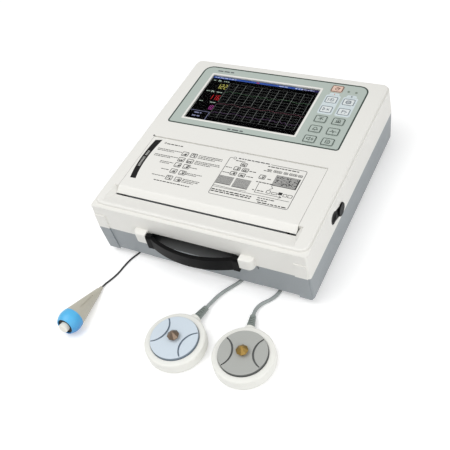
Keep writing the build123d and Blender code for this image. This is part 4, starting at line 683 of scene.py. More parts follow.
# ---- Camera, light and floor ----
@dataclass
class Studio:
    """The camera at its viewing angle, soft light and a white floor."""

    bench: Bench
    azimuth: float = 37.35
    elevation: float = 46.5
    roll: float = -15.6
    target: tuple[float, float, float] = (-14.44, -66.42, 0.0)
    distance: float = 978.75
    lens: float = 58.54
    sensor: float = 36.0
    nearest: float = 0.02
    farthest: float = 50.0
    floor_reach: float = 6000.0
    aim: tuple[float, float, float] = (0.0, -60.0, 40.0)
    key_power: float = 12.0
    fill_power: float = 8.5
    sky: float = 0.52

    def camera(self) -> None:
        """Places the camera on the line from its target, turned about it by the roll."""
        a, e, r = (math.radians(x) for x in (self.azimuth, self.elevation, self.roll))
        back = Vector((math.sin(a) * math.cos(e), -math.cos(a) * math.cos(e), math.sin(e)))
        right = (-back).cross(Vector((0.0, 0.0, 1.0))).normalized()
        up = right.cross(-back)
        turned_right = right * math.cos(r) + up * math.sin(r)
        turned_up = up * math.cos(r) - right * math.sin(r)
        data = bpy.data.cameras.new("camera")
        data.lens = self.lens
        data.sensor_width = self.sensor
        data.sensor_fit = "AUTO"
        data.clip_start = self.nearest
        data.clip_end = self.farthest
        camera = stand("camera", data)
        place = Vector(self.bench.metres([self.target])[0]) + back * self.distance * MM
        turn = Matrix((turned_right, turned_up, back)).transposed()
        camera.matrix_world = Matrix.Translation(place) @ turn.to_4x4()
        bpy.context.scene.camera = camera

    def lamp(self, name: str, place: Points, size: float, power: float) -> None:
        """Adds one soft square lamp that looks at the middle of the case."""
        data = bpy.data.lights.new(name, "AREA")
        data.shape = "SQUARE"
        data.size = size
        data.energy = power
        lamp = stand(name, data)
        spot = Vector(self.bench.metres([place])[0])
        lamp.location = spot
        ray = Vector(self.bench.metres([self.aim])[0]) - spot
        lamp.rotation_euler = ray.to_track_quat("-Z", "Y").to_euler()

    def world(self) -> None:
        """A plain sky that lights softly and is white where the camera looks into it."""
        world = bpy.data.worlds.new("studio")
        bpy.context.scene.world = world
        graph = Graph("studio", world)
        rays = graph.add("ShaderNodeLightPath")
        strength = graph.add("ShaderNodeMapRange", None, {"Value": rays.outputs["Is Camera Ray"],
                                                          "To Min": self.sky, "To Max": 1.0})
        sky = graph.add("ShaderNodeBackground", None,
                        {"Color": (1.0, 1.0, 1.0, 1.0), "Strength": strength.outputs[0]})
        graph.add("ShaderNodeOutputWorld", None, {"Surface": sky.outputs[0]})

    def floor(self) -> None:
        """A wide level square at floor height."""
        corners = np.array([[-1, -1, 0], [1, -1, 0], [1, 1, 0], [-1, 1, 0]]) * self.floor_reach
        piece = self.bench.solid("floor", corners, [[0, 1, 2, 3]])
        piece.data.materials.append(self.bench.finish(FloorFinish("floor_white")))

    def build(self) -> None:
        """Makes camera, lamps, sky and floor."""
        bpy.context.scene.view_settings.view_transform = "Standard"
        self.camera()
        self.lamp("key_lamp", (-450.0, -450.0, 1500.0), 1.2, self.key_power)
        self.lamp("fill_lamp", (1200.0, -650.0, 750.0), 1.6, self.fill_power)
        self.world()
        self.floor()


# ---- Leads ----
@dataclass
class StoredLead:
    """A lead from its strain relief along the floor into a wound coil and its plug.

    The route is the lead's own points. The coil's columns are counted from outside in and
    its rows from the floor up, both one lead diameter apart. column_start and row_start are
    the shares of a turn at which each starts to change, and step is how long that takes.
    """

    bench: Bench
    node: str
    coil_node: str
    plug_node: str
    route: Points
    coil_centre: tuple[float, float]
    turn_radius: float
    columns: int
    diameter: float
    plug_gap: float
    plug_axis: float
    finish: Any
    slot: str
    points_per_turn: int = 24
    rows: int = 4
    column_start: float = 0.75
    row_start: float = 0.875
    step: float = 0.125
    spline_share: float = 0.9915

    @property
    def outermost(self) -> float:
        """The radius of the outermost column."""
        return self.turn_radius + (self.columns - 1) / 2 * self.diameter

    def turns(self) -> np.ndarray:
        """The start and end column and row of each turn, one row of four numbers each.

        The lead winds inward on the floor, climbs inside, winds outward on the top row,
        inward on the third and outward on the second, so that it leaves at the outside.
        """
        inner = self.columns - 1
        top = self.rows - 1
        inward = [(c, 0, c + 1, 0) for c in range(inner)]
        climb = [(inner, 0, inner, top)]
        outward = [(c, top, c - 1, top) for c in range(inner, 1, -1)] + [(1, top, 0, top - 1)]
        back_in = [(c, top - 1, c + 1, top - 1) for c in range(inner - 2)]
        back_in.append((inner - 2, top - 1, inner - 1, top - 2))
        back_out = [(c, top - 2, c - 1, top - 2) for c in range(inner - 1, 0, -1)]
        return np.array(inward + climb + outward + back_in + back_out, float)

    def coil(self) -> np.ndarray:
        """The coil's control points.

        Angle a grows through each turn. The column changes with a smooth step between 270
        and 315 degrees and the row between 315 and 360, except on the climbing turn, whose
        row rises evenly. A point is centre + r (cos a, sin a), with r the column's radius
        divided by the share of it that a quadratic spline with 24 points in a turn keeps.
        """
        share = np.arange(self.points_per_turn) / self.points_per_turn
        turns = self.turns()
        angle = np.tile(share * 2 * math.pi, len(turns))
        across = np.clip((share - self.column_start) / self.step, 0.0, 1.0)
        across = across * across * (3.0 - 2.0 * across)
        upward = np.clip((share - self.row_start) / self.step, 0.0, 1.0)
        climbing = (turns[:, 3] - turns[:, 1]) > 1
        even = np.where(share < 0.75, share / 0.75 * 2 / 3, 2 / 3 + (share - 0.75) / 0.25 / 3)
        rise = np.where(climbing[:, None], even[None, :], upward[None, :])
        column = (turns[:, 0:1] + (turns[:, 2:3] - turns[:, 0:1]) * across[None, :]).ravel()
        row = (turns[:, 1:2] + (turns[:, 3:4] - turns[:, 1:2]) * rise).ravel()
        radius = (self.outermost - column * self.diameter) / self.spline_share
        height = self.diameter * (row + 0.5)
        return np.stack([self.coil_centre[0] + radius * np.cos(angle),
                         self.coil_centre[1] + radius * np.sin(angle), height], axis=-1)

    def tail(self) -> np.ndarray:
        """The last stretch, straight from the coil's outer edge to the plug's relief."""
        x = self.coil_centre[0] + self.outermost
        return np.array([[x, self.coil_centre[1] + self.plug_gap * share, self.plug_axis]
                         for share in (0.25, 0.6, 1.0)])

    def build(self) -> None:
        route = np.asarray(self.route, float)[:-1]
        path = self.bench.metres(np.vstack([route, self.coil(), self.tail()]))
        curve = bpy.data.curves.new(self.node + "_cord", "CURVE")
        curve.dimensions = "3D"
        curve.bevel_depth = self.diameter / 2 * MM
        curve.bevel_resolution = 4
        curve.resolution_u = 4
        curve.render_resolution_u = 4
        curve.use_fill_caps = True
        spline = curve.splines.new("NURBS")
        spline.points.add(len(path) - 1)
        spline.points.foreach_set("co", np.column_stack([path, np.ones(len(path))]).ravel())
        spline.order_u = 3
        spline.use_endpoint_u = True
        lead = stand(self.node + "_cord", curve)
        self.bench.dress(lead, "case", self.finish, self.slot)
        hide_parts(self.node, self.coil_node)
        self.diameter * MM


@dataclass
class Leads:
    """The two probe leads and the event marker's lead."""

    bench: Bench
    lead_radius: float = 2.25
    marker_radius: float = 1.2
    coil_row_y: float = 187.0
    marker_coil_y: float = 176.0

    def routes(self) -> dict[str, Points]:
        """Each lead's points, from its strain relief to the start of its coil."""
        z = self.lead_radius
        thin = self.marker_radius
        y = self.coil_row_y
        return {
            "probe_lead_1": [
                (25.331, -199.047, 5.176), (26.966, -189.281, 3.785), (32.0, -173.0, z + 1.2),
                (41.0, -157.5, z), (51.0, -142.0, z), (57.0, -108.0, z), (58.0, -60.0, z),
                (52.0, -8.0, z), (42.0, 44.0, z), (31.0, 90.0, z), (23.0, 128.0, z),
                (19.75, 158.0, z), (20.05, y, z)],
            "probe_lead_2": [
                (85.242, -192.129, 5.176), (82.629, -182.577, 3.785), (86.5, -171.0, z + 1.0),
                (96.0, -160.0, z), (101.0, -147.0, z), (100.5, -122.0, z), (95.0, -84.0, z),
                (89.0, -34.0, z), (88.0, 18.0, z), (93.0, 70.0, z), (99.0, 118.0, z),
                (101.75, 155.0, z), (102.05, y, z)],
            "marker_lead": [
                (-122.6, -212.4, 2.538), (-122.467, -206.52, 1.351), (-118.5, -197.5, thin + 0.1),
                (-114.2, -185.0, thin), (-112.8, -171.0, thin), (-110.0, -157.0, thin),
                (-103.0, -143.0, thin), (-97.0, -120.0, thin), (-92.0, -84.0, thin),
                (-90.0, -40.0, thin), (-92.0, 10.0, thin), (-90.0, 60.0, thin),
                (-84.0, 105.0, thin), (-79.0, 136.0, thin), (-77.2, 157.0, thin),
                (-77.0, self.marker_coil_y, thin)],
        }

    def build(self) -> None:
        """Makes the three leads."""
        routes = self.routes()
        grey = RubberSkin("lead_jacket_grey", srgb(152, 158, 157), 0.5)
        black = RubberSkin("lead_jacket_black", srgb(30, 30, 32), 0.5)
        for number, centre_x in ((1, -10.0), (2, 72.0)):
            node = f"probe_lead_{number}"
            StoredLead(self.bench, node, f"probe_{number}_coil", f"probe_{number}_plug",
                       routes[node], (centre_x, self.coil_row_y), 23.0, 4,
                       2 * self.lead_radius, 23.6, 6.75, grey, "lead_grey").build()
        StoredLead(self.bench, "marker_lead", "marker_coil", "marker_plug",
                   routes["marker_lead"], (-96.0, self.marker_coil_y), 14.0, 5,
                   2 * self.marker_radius, 16.2, 4.6, black, "rubber_black").build()


# ---- Case ----
@dataclass
class Case:
    """The two shells, the feet and screws, and what stands inside and behind."""

    bench: Bench

    def build(self) -> None:
        """Paints the carried-over nodes of the case."""
        bench = self.bench
        bench.paint(HOUSING_WHITE, "upper_case")
        bench.paint(MouldedPlastic("base_grey", srgb(147, 153, 157), 0.46), "lower_case")
        bench.paint(RubberSkin("foot_rubber", srgb(38, 38, 40), 0.7), "rubber_feet")
        bench.paint(TurnedMetal("screw_steel", (0.55, 0.55, 0.53, 1.0)), "case_screws")
        board = CircuitBoard("board_green", (0.02, 0.16, 0.06, 1.0))
        bench.paint(board, "main_board", "key_board")
        bench.paint(TurnedMetal("folded_tin", (0.62, 0.63, 0.64, 1.0), Turning.X, 0.35, 0.0008),
                    "power_supply", "printer_motor", "print_head")
        bench.paint(PrintedFilm("cell_wrap", srgb(38, 78, 140)), "battery_pack")
        bench.paint(MouldedPlastic("speaker_black", srgb(30, 30, 32), 0.6), "speaker")


@dataclass
class RearPanel:
    """The sockets, the mains inlet and the ground post in the rear panel."""

    bench: Bench

    def build(self) -> None:
        """Paints the rear panel's nodes."""
        bench = self.bench
        bench.paint(MouldedPlastic("socket_grey", srgb(120, 124, 128), 0.5),
                    "rear_sockets", "probe_1_plug", "probe_2_plug")
        bench.paint(MouldedPlastic("inlet_black", srgb(28, 28, 30), 0.5),
                    "mains_inlet", "marker_plug")
        bench.paint(TurnedMetal("post_brass", (0.72, 0.52, 0.24, 1.0), Turning.Y), "ground_post")


# ---- Key panel and screen ----
class KeyIcon(Enum):
    """A plain sign on a key.

    Each value is the sign's open lines, in a box from -1 to 1, and its circles, as middle
    and radius.
    """

    SOUND = ([[(-0.9, -0.3), (-0.5, -0.3), (0.0, -0.8), (0.0, 0.8), (-0.5, 0.3), (-0.9, 0.3),
        (-0.9, -0.25)], [(0.4, -0.4), (0.6, 0.0), (0.4, 0.4)], [(0.7, -0.7), (1.0, 0.0),
        (0.7, 0.7)]], [])
    BELL = ([[(-0.8, -0.5), (-0.5, -0.1), (-0.4, 0.5), (0.0, 0.8), (0.4, 0.5), (0.5, -0.1),
        (0.8, -0.5), (-0.8, -0.52)], [(-0.2, -0.8), (0.2, -0.8)]], [])
    RISE = ([[(-0.7, -0.3), (0.0, 0.5), (0.7, -0.3)], [(0.0, 0.4), (0.0, -0.8)], [(-0.7, 0.9),
        (0.7, 0.9)]], [])
    FALL = ([[(-0.9, -0.8), (-0.9, 0.8), (-0.3, 0.0), (-0.9, -0.78)], [(0.1, 0.5), (0.9, -0.5)],
        [(0.1, -0.5), (0.9, 0.5)]], [])
    CLOCK = ([[(0.0, 0.5), (0.0, 0.0), (0.45, -0.2)], [(-0.9, -0.8), (-0.9, 0.8)]],
        [(0.2, 0.0, 0.85)])
    SHEET = ([[(-0.6, -0.8), (0.6, -0.8), (0.6, 0.4), (0.2, 0.8), (-0.6, 0.8), (-0.6, -0.75)],
        [(-0.3, 0.2), (0.3, 0.2)], [(-0.3, -0.3), (0.3, -0.3)]], [])
    PULSE = ([[(-1.0, -0.2), (-0.5, -0.2), (-0.25, 0.7), (0.1, -0.8), (0.35, 0.0), (1.0, 0.0)],
        [(-0.2, 0.1), (0.2, 0.1)]], [])
    ZERO = ([[(-0.9, -0.6), (0.9, -0.6)], [(0.0, 0.8), (0.0, -0.3)], [(-0.35, 0.1), (0.0, -0.3),
        (0.35, 0.1)]], [(0.0, 0.2, 0.9)])
    MARK = ([[(-0.5, -0.9), (-0.5, 0.8), (0.6, 0.4), (-0.5, 0.0)], [(0.3, -0.8), (1.0, 0.2)]], [])
    MENU = ([[(-0.8, 0.5), (0.8, 0.5)], [(-0.8, 0.0), (0.8, 0.0)], [(-0.8, -0.5), (0.8, -0.5)]],
        [(-0.1, 0.0, 1.0)])
    POWER = ([[(0.0, 0.1), (0.0, 0.9)], [(0.45, 0.75), (0.75, 0.35), (0.3, 0.25)]],
        [(0.0, -0.1, 0.8)])


@dataclass
class KeyPanel:
    """The printed film, the eleven keys with their signs, and the two lights."""

    bench: Bench
    columns: tuple[float, float] = (80.4, 104.4)
    first_y: float = 26.8
    pitch: float = 19.6
    rows: int = 5
    pale_from: int = 3
    power_y: float = 128.8
    key_size: tuple[float, float] = (16.0, 13.0)
    sign_size: tuple[float, float] = (4.6, 3.6)
    film_z: float = 92.5
    key_top: float = 93.2
    line: float = 0.85
    outline: float = 1.0

    def key_places(self) -> list[tuple[str, float, float]]:
        """The node name and the middle of each key, the power key last."""
        places = [(x, self.first_y + row * self.pitch) for x in self.columns
                  for row in range(self.rows)]
        named = [(f"key_{number:02d}", x, y) for number, (x, y) in enumerate(places, start=1)]
        return named + [("power_key", self.columns[0], self.power_y)]

    def is_pale(self, y: float) -> bool:
        """Says whether a key is in one of the pale rows at the back."""
        return y > self.first_y + (self.pale_from - 0.5) * self.pitch

    def sign(self, node: str, x: float, y: float, icon: KeyIcon, ink: PrintInk) -> None:
        """Prints a frame and a sign on one key's top."""
        half_x, half_y = self.key_size[0] / 2, self.key_size[1] / 2
        sheet = PrintSheet(self.bench, node + "_sign", self.key_top - 0.01)
        sheet.frame(x - half_x + 0.1, x + half_x - 0.1, y - half_y + 0.1, y + half_y - 0.1,
                    2.0, self.outline)
        strokes, rings = icon.value
        for stroke in strokes:
            sheet.line(np.asarray(stroke) * self.sign_size + [x, y], self.line)
        for cx, cy, radius in rings:
            sheet.circle(x + cx * self.sign_size[0], y + cy * self.sign_size[1],
                         radius * self.sign_size[1], self.line)
        sheet.finish(node + "_cap", ink, "key_plastic")

    def ink(self, sheet: PrintSheet, name: str, *colour: int) -> None:
        """Finishes a sheet on the film in one ink."""
        sheet.finish("case", PrintInk(name, srgb(*colour)), "panel_green")

    def film_print(self) -> None:
        """The pale patches behind the back key rows, the dark edge and two rows of bars."""
        bench = self.bench
        low = self.first_y + (self.pale_from - 0.5) * self.pitch + 0.8
        high = self.first_y + (self.rows - 0.5) * self.pitch + 0.6
        patches = PrintSheet(bench, "panel_patches", self.film_z)
        for x in self.columns:
            patches.fill(rounded_outline(x - 10.2, x + 10.2, low, high, 3.0))
            patches.fill(rounded_outline(x - 7.0, x + 7.0, high - 0.2, high + 4.4, 0.3, 3.0))
        self.ink(patches, "patch_pale", 208, 219, 222)
        edge = PrintSheet(bench, "panel_edge_line", self.film_z)
        edge.frame(-124.3, 123.1, 14.3, 141.3, 4.4, 2.1, 13.4)
        self.ink(edge, "line_dark_green", 54, 68, 62)
        marks = PrintSheet(bench, "panel_marks", self.film_z)
        marks.words(-102.5, -77.0, 132.6, 2.3, 5)
        marks.words(-33.5, -10.5, 19.4, 2.3, 8)
        marks.bar(self.columns[1] - 0.8, self.columns[1] + 0.8, high + 0.8, high + 3.2)
        self.ink(marks, "marks_grey", 92, 96, 98)
        tick = PrintSheet(bench, "panel_tick", self.film_z + 0.05)
        tick.bar(self.columns[0] - 0.6, self.columns[0] + 0.6, high + 0.8, high + 3.0)
        self.ink(tick, "ink_orange", 196, 130, 110)

    def build(self) -> None:
        """Paints the film, keys and lights, and prints them."""
        bench = self.bench
        bench.paint(PrintedFilm("panel_film", srgb(179, 190, 183)), "key_panel")
        sage = MouldedPlastic("key_sage", srgb(179, 190, 183), 0.4, 0.0003, 0.00001)
        white = MouldedPlastic("key_white", srgb(222, 228, 228), 0.4, 0.0003, 0.00001)
        peach = MouldedPlastic("key_peach", srgb(226, 196, 180), 0.4, 0.0003, 0.00001)
        slate = PrintInk("ink_slate", srgb(104, 114, 124))
        olive = PrintInk("ink_olive", srgb(62, 74, 68))
        brown = PrintInk("ink_brown", srgb(104, 66, 54))
        for (node, x, y), icon in zip(self.key_places(), list(KeyIcon)):
            cap, ink = (white, slate) if self.is_pale(y) else (sage, olive)
            if node == "power_key":
                cap, ink = peach, brown
            bench.paint(cap, node)
            self.sign(node, x, y, icon, ink)
        bench.paint(MouldedPlastic("lens_dull", srgb(126, 138, 126), 0.3), "status_lights")
        self.film_print()


@dataclass
class Screen:
    """The window, and the picture that the display shows under it."""

    bench: Bench
    left: float = -104.1
    right: float = 57.5
    front: float = 29.6
    back: float = 122.7
    face_z: float = 90.0
    sheet_height: float = 0.03
    title_front: float = 119.0
    title_split: float = 33.0
    grid_left: float = -73.0
    grid_right: float = 55.0
    column_pitch: float = 12.55
    reading_right: float = -75.0

    def sheet(self, name: str, layer: int = 0) -> PrintSheet:
        """Starts a sheet of lit shapes on the display, or on top of another such sheet."""
        return PrintSheet(self.bench, name, self.face_z + layer * self.sheet_height,
                          self.sheet_height)

    def light(self, sheet: PrintSheet, name: str, red: int, green: int, blue: int) -> None:
        """Finishes a sheet in one glowing colour."""
        sheet.finish("case", ScreenLight("glow_" + name, srgb(red, green, blue)), "display")

    def digits(self, sheet: PrintSheet, text: str, right: float, y: float, height: float) -> None:
        """Writes a number with bars, seven to a digit, ending at right and centred on y."""
        bars = {"a": (0, 1, 2, 2), "b": (1, 1, 1, 2), "c": (1, 1, 0, 1), "d": (0, 1, 0, 0),
                "e": (0, 0, 0, 1), "f": (0, 0, 1, 2), "g": (0, 1, 1, 1)}
        lit = {"0": "abcdef", "1": "bc", "2": "abged", "6": "afgedc"}
        half = height / 2
        width = height * 0.31
        bar = height * 0.075
        for index, digit in enumerate(text):
            left = right + width * 0.9 - (len(text) - index) * width * 1.95
            for name in lit[digit]:
                x0, x1, y0, y1 = bars[name]
                sheet.bar(left + x0 * width - bar / 2, left + x1 * width + bar / 2,
                          y + (y0 - 1) * half - bar / 2, y + (y1 - 1) * half + bar / 2)

    def title(self) -> None:
        """The title bar with its pale words and signs, a red mark and a dark right end."""
        bar = self.sheet("screen_title")
        bar.bar(self.left, self.title_split, self.title_front, self.back)
        self.light(bar, "blue", 62, 92, 176)
        end = self.sheet("screen_title_end")
        end.bar(self.title_split, self.right, self.title_front, self.back)
        self.light(end, "purple", 58, 50, 96)
        middle = (self.title_front + self.back) / 2
        words = self.sheet("screen_title_words", 1)
        words.words(self.left + 2.0, self.left + 36.0, middle, 1.7, 3)
        words.words(-1.7, 11.4, middle, 1.7, 4)
        for x in (22.5, 27.0, 31.0):
            words.bar(x, x + 2.8, middle - 1.3, middle + 1.3)
        words.words(35.0, 50.0, middle, 1.2, 9)
        self.light(words, "lavender", 190, 200, 236)
        mark = self.sheet("screen_red_mark", 1)
        mark.bar(-36.5, -32.0, middle - 0.9, middle + 0.9)
        self.light(mark, "red_mark", 196, 60, 60)

    def grid(self) -> None:
        """Two charts of thin lines, one above the other, with columns in line."""
        rows, lines = self.sheet("screen_rows"), self.sheet("screen_columns", 1)
        columns = np.arange(self.grid_left, self.grid_right + 1.0, self.column_pitch)
        for low, high, steps in ((71.0, 111.5, 7), (40.0, 65.5, 5)):
            for y in np.linspace(low, high, steps + 1):
                rows.bar(self.grid_left, columns[-1], y - 0.2, y + 0.2)
            for x in columns:
                lines.bar(x - 0.28, x + 0.28, low, high)
        self.light(rows, "dim_grey", 84, 86, 84)
        self.light(lines, "grey", 116, 118, 116)

    def trace(self, name: str, colour: tuple[int, int, int], level: float, swing: float,
              seed: int) -> None:
        """One wandering line: level + swing times a third of the sum of five seeded sines."""
        rng = np.random.default_rng(seed)
        x = np.linspace(self.grid_left, self.grid_right, 120)
        waves = rng.uniform(0.05, 0.9, 5)
        phases = rng.uniform(0.0, 6.28, 5)
        y = level + swing * np.sin(x[:, None] * waves[None, :] + phases[None, :]).sum(axis=1) / 3
        sheet = self.sheet("trace_" + name, 1)
        sheet.line(np.stack([x, y], axis=-1), 0.3)
        self.light(sheet, name, *colour)

    def readings(self) -> None:
        """The three numbers in the left column, and small words above each."""
        marks = self.sheet("screen_small_words")
        rows = (("122", 102.6, 9.0, 11.4, "yellow", (232, 226, 120)),
                ("116", 78.4, 9.0, 11.6, "red", (226, 44, 48)),
                ("10", 57.2, 8.0, 10.6, "pink", (200, 84, 176)))
        for index, (text, y, height, rise, name, colour) in enumerate(rows):
            sheet = self.sheet("reading_" + name)
            self.digits(sheet, text, self.reading_right, y, height)
            self.light(sheet, name, *colour)
            marks.words(self.left + 3.0, self.left + 8.5, y + rise, 1.2, index)
            marks.words(-84.5, -76.0, y + rise, 1.2, index + 3)
            if index < 2:
                marks.bar(-93.0, -91.8, y + rise - 1.8, y + rise + 1.8)
                marks.line([(-91.8, y + rise + 1.2), (-89.6, y + rise + 0.6),
                            (-89.0, y + rise - 1.8)], 1.0)
        self.light(marks, "pale_green", 196, 214, 200)

    def foot_box(self) -> None:
        """The outlined box at the left foot of the picture, with two rows of words."""
        box = self.sheet("screen_box")
        box.line([(self.left, 47.4), (-74.8, 47.4), (-74.8, self.front)], 0.6)
        box.words(-96.5, -85.5, 43.2, 2.0, 5)
        box.words(-97.0, -84.5, 36.8, 2.0, 6)
        self.light(box, "slate", 150, 152, 188)

    def build(self) -> None:
        """Paints the glass and the display, and draws the picture."""
        bench = self.bench
        bench.paint(ClearGlass("window_glass"), "screen_glass")
        bench.paint(ScreenLight("display_dark", srgb(10, 10, 12), 0.3), "display_module")
        self.title()
        self.grid()
        self.trace("green", (92, 132, 96), 92.5, 2.6, 11)
        self.trace("rose", (150, 100, 112), 68.0, 1.4, 12)
        self.trace("violet", (110, 78, 122), 50.0, 3.0, 13)
        self.readings()
        self.foot_box()


# ---- Printer, door and its label ----
@dataclass
class Printer:
    """The door with its printed instructions, and the paper drive under it."""

    bench: Bench
    top_z: float = 92.5
    text_height: float = 0.95
    icon_line: float = 0.75

    def sheet(self, name: str, lift: float = 0.0) -> PrintSheet:
        """Starts a sheet at the case's top, or a little above another sheet."""
        return PrintSheet(self.bench, name, self.top_z + lift)

    def ink(self, sheet: PrintSheet, name: str, shade_number: int) -> None:
        """Finishes a sheet of the label in one grey."""
        recipe = PrintInk("ink_" + name, srgb(*[shade_number] * 3))
        sheet.finish("door", recipe, "black_plastic")

    def curved_bar(self) -> None:
        """The black bar at the label's left edge, between two arcs, with pale dashes in it."""
        outer = [(-120.6, -24.3), (-122.7, -62.3), (-118.0, -96.7)]
        inner = [(-110.8, -21.9), (-114.5, -61.0), (-109.9, -96.3)]
        t = np.linspace(0.0, 1.0, 33)[:, None]
        sides = []
        for start, middle, end in (outer, inner):
            bend = 2 * np.array(middle) - (np.array(start) + np.array(end)) / 2
            sides.append((1 - t) ** 2 * start + 2 * t * (1 - t) * bend + t ** 2 * np.array(end))
        sheet = self.sheet("label_black_bar")
        sheet.fill(np.vstack([sides[0], sides[1][::-1]]))
        self.ink(sheet, "black", 12)
        dashes = self.sheet("label_bar_dashes", 0.05)
        middle_line = (sides[0] + sides[1]) / 2
        for first in (9, 10, 11, 12, 14, 15, 16, 17, 18, 19, 20, 21):
            start, end = middle_line[first], middle_line[first + 1]
            dashes.line([start + 0.15 * (end - start), start + 0.75 * (end - start)], 3.2)
        dashes.finish("door", PrintInk("ink_pale", srgb(176, 176, 172)), "housing_white")

    def icon(self, sheet: PrintSheet, x: float, y: float, half_x: float, half_y: float,
             seed: int) -> None:
        """One small picture: a rounded frame and a few strokes inside it."""
        rng = np.random.default_rng(seed)
        sheet.frame(x - half_x, x + half_x, y - half_y, y + half_y, 1.2, self.icon_line)
        points = rng.uniform(-0.55, 0.55, (3, 2)) * [half_x, half_y] + [x, y]
        sheet.circle(float(points[0, 0]), float(points[0, 1]), 0.45 * half_y, 0.6)
        sheet.line([(x - 0.6 * half_x, y - 0.5 * half_y), tuple(points[1]),
                    (x + 0.6 * half_x, y + 0.4 * half_y)], 0.6)
        sheet.bar(x + 0.1 * half_x, x + 0.55 * half_x, y - 0.6 * half_y, y - 0.1 * half_y)

    def paragraph(self, sheet: PrintSheet, left: float, right: float, y: float, lines: int,
                  seed: int) -> None:
        """Rows of small words about one height, centred on y, the last row shorter."""
        pitch = 2.05 * self.text_height + 0.5
        for index in range(lines):
            end = right if index < lines - 1 or lines == 1 else left + 0.7 * (right - left)
            sheet.words(left, end, y + ((lines - 1) / 2 - index) * pitch, self.text_height,
                        seed + index)

    def left_block(self, sheet: PrintSheet) -> None:
        """A heading, and five rows of words round a pair of small pictures each."""
        sheet.circle(-103.3, -26.4, 1.5, 0.5)
        sheet.words(-100.5, -76.5, -27.0, 1.4, 21)
        rows = ((-39.1, (-108.5, -72.5, 2), (-46.5, -11.5, 3)),
                (-49.9, (-107.8, -72.6, 2), (-46.4, -11.0, 3)),
                (-60.1, (-93.5, -73.5, 2), (-48.3, -38.3, 1)),
                (-71.5, (-85.2, -73.4, 1), (-48.5, -25.7, 2)),
                (-83.7, (-92.3, -72.4, 1), (-47.3, -23.8, 3)))
        for index, (y, before, after) in enumerate(rows):
            self.paragraph(sheet, before[0], before[1], y + 0.4, before[2], 30 + 4 * index)
            self.paragraph(sheet, after[0], after[1], y - 0.2, after[2], 60 + 4 * index)
            for column, x in enumerate((-66.6, -53.7)):
                self.icon(sheet, x, y, 4.7, 3.9, 2 * index + column)
        sheet.words(-84.8, -31.2, -91.8, 1.25, 70)

    def right_left_half(self, sheet: PrintSheet) -> None:
        """The box's heading, five small pictures and words, and the notes at its foot."""
        sheet.circle(1.6, -29.4, 2.2, 0.6)
        sheet.words(6.5, 50.4, -28.6, 1.5, 22)
        sheet.words(4.5, 18.4, -33.0, 1.1, 23)
        for index, (x, y) in enumerate(((17.9, -38.0), (12.2, -46.3), (23.6, -46.3),
                                        (11.2, -55.2), (23.0, -55.5))):
            self.icon(sheet, x, y, 4.4, 3.3, 20 + index)
        for index, y in enumerate((-46.6, -55.8)):
            sheet.words(-3.5, 6.0, y, 1.1, 80 + index)
            sheet.words(29.5, 39.5, y, 1.1, 84 + index)
        sheet.line([(-4.5, -79.4), (22.0, -80.4), (39.5, -79.4)], 0.5)
        sheet.line([(-4.5, -81.8), (97.4, -81.8)], 0.5)
        for y in (-86.2, -89.2):
            sheet.words(-4.0, 50.0, y, 1.5, int(-y))
        sheet.words(57.8, 80.5, -85.2, 1.2, 92)
        sheet.words(57.8, 73.0, -88.6, 1.2, 93)

    def right_right_half(self, sheet: PrintSheet) -> None:
        """Rows of small boxes, a picture, and a bracket with an arrow at its end."""
        sheet.words(48.9, 90.1, -32.4, 1.4, 94)
        sheet.words(46.5, 57.5, -40.6, 1.0, 95)
        boxes = ((50.3, 56.5), (59.0, 70.0), (72.5, 78.0), (80.0, 90.0), (91.5, 97.2))
        for index, (left, right) in enumerate(boxes):
            sheet.frame(left, right, -40.6 if index else -38.8, -37.0, 0.8, 0.6)
            sheet.words(left + 1.2, right - 1.2, -38.8, 0.8, 96 + index)
        self.icon(sheet, 49.4, -51.7, 4.2, 3.6, 40)
        sheet.words(57.0, 62.0, -53.4, 1.1, 101)
        sheet.words(45.1, 66.5, -60.6, 1.3, 102)
        sheet.line([(49.4, -62.4), (50.2, -77.8), (84.4, -77.8)], 0.55)
        sheet.line([(82.0, -75.8), (85.0, -77.8), (82.0, -79.8)], 0.55)
        sheet.words(45.7, 49.0, -74.3, 1.1, 103)
        sheet.words(52.0, 62.4, -74.3, 1.1, 104)
        for left, right, front, back in ((64.0, 69.5, -75.6, -70.6), (71.0, 78.5, -75.6, -72.0),
                                         (86.0, 91.0, -76.0, -71.2), (92.0, 97.8, -76.0, -71.2)):
            sheet.frame(left, right, front, back, 0.8, 0.6)
        sheet.bar(79.5, 84.5, -74.4, -70.2)
        sheet.line([(66.5, -62.8), (69.5, -66.5), (66.0, -69.4)], 0.6)

    def hatched(self) -> None:
        """The shaded fields in the right-hand box: fine bars, with dark edges and specks."""
        fields = ((-4.5, 16.0, -75.4, -61.6), (18.4, 39.3, -76.4, -62.2),
                  (65.5, 97.2, -61.6, -44.0))
        sheet = self.sheet("label_fields")
        edges = self.sheet("label_field_edges", 0.05)
        for left, right, low, high in fields:
            for y in np.arange(low, high, 1.4):
                sheet.bar(left, right, y, y + 0.95)
            edges.bar(left, right, low - 0.3, low + 0.7)
        left, right, low, high = fields[-1]
        edges.bar(right - 1.6, right, low, high)
        rng = np.random.default_rng(7)
        for x, y in rng.uniform([left + 2.0, low + 2.0], [right - 3.0, high - 2.0], (46, 2)):
            edges.bar(x, x + 1.7, y, y + 0.9)
        self.ink(sheet, "mid_grey", 104)
        self.ink(edges, "dark_grey", 48)

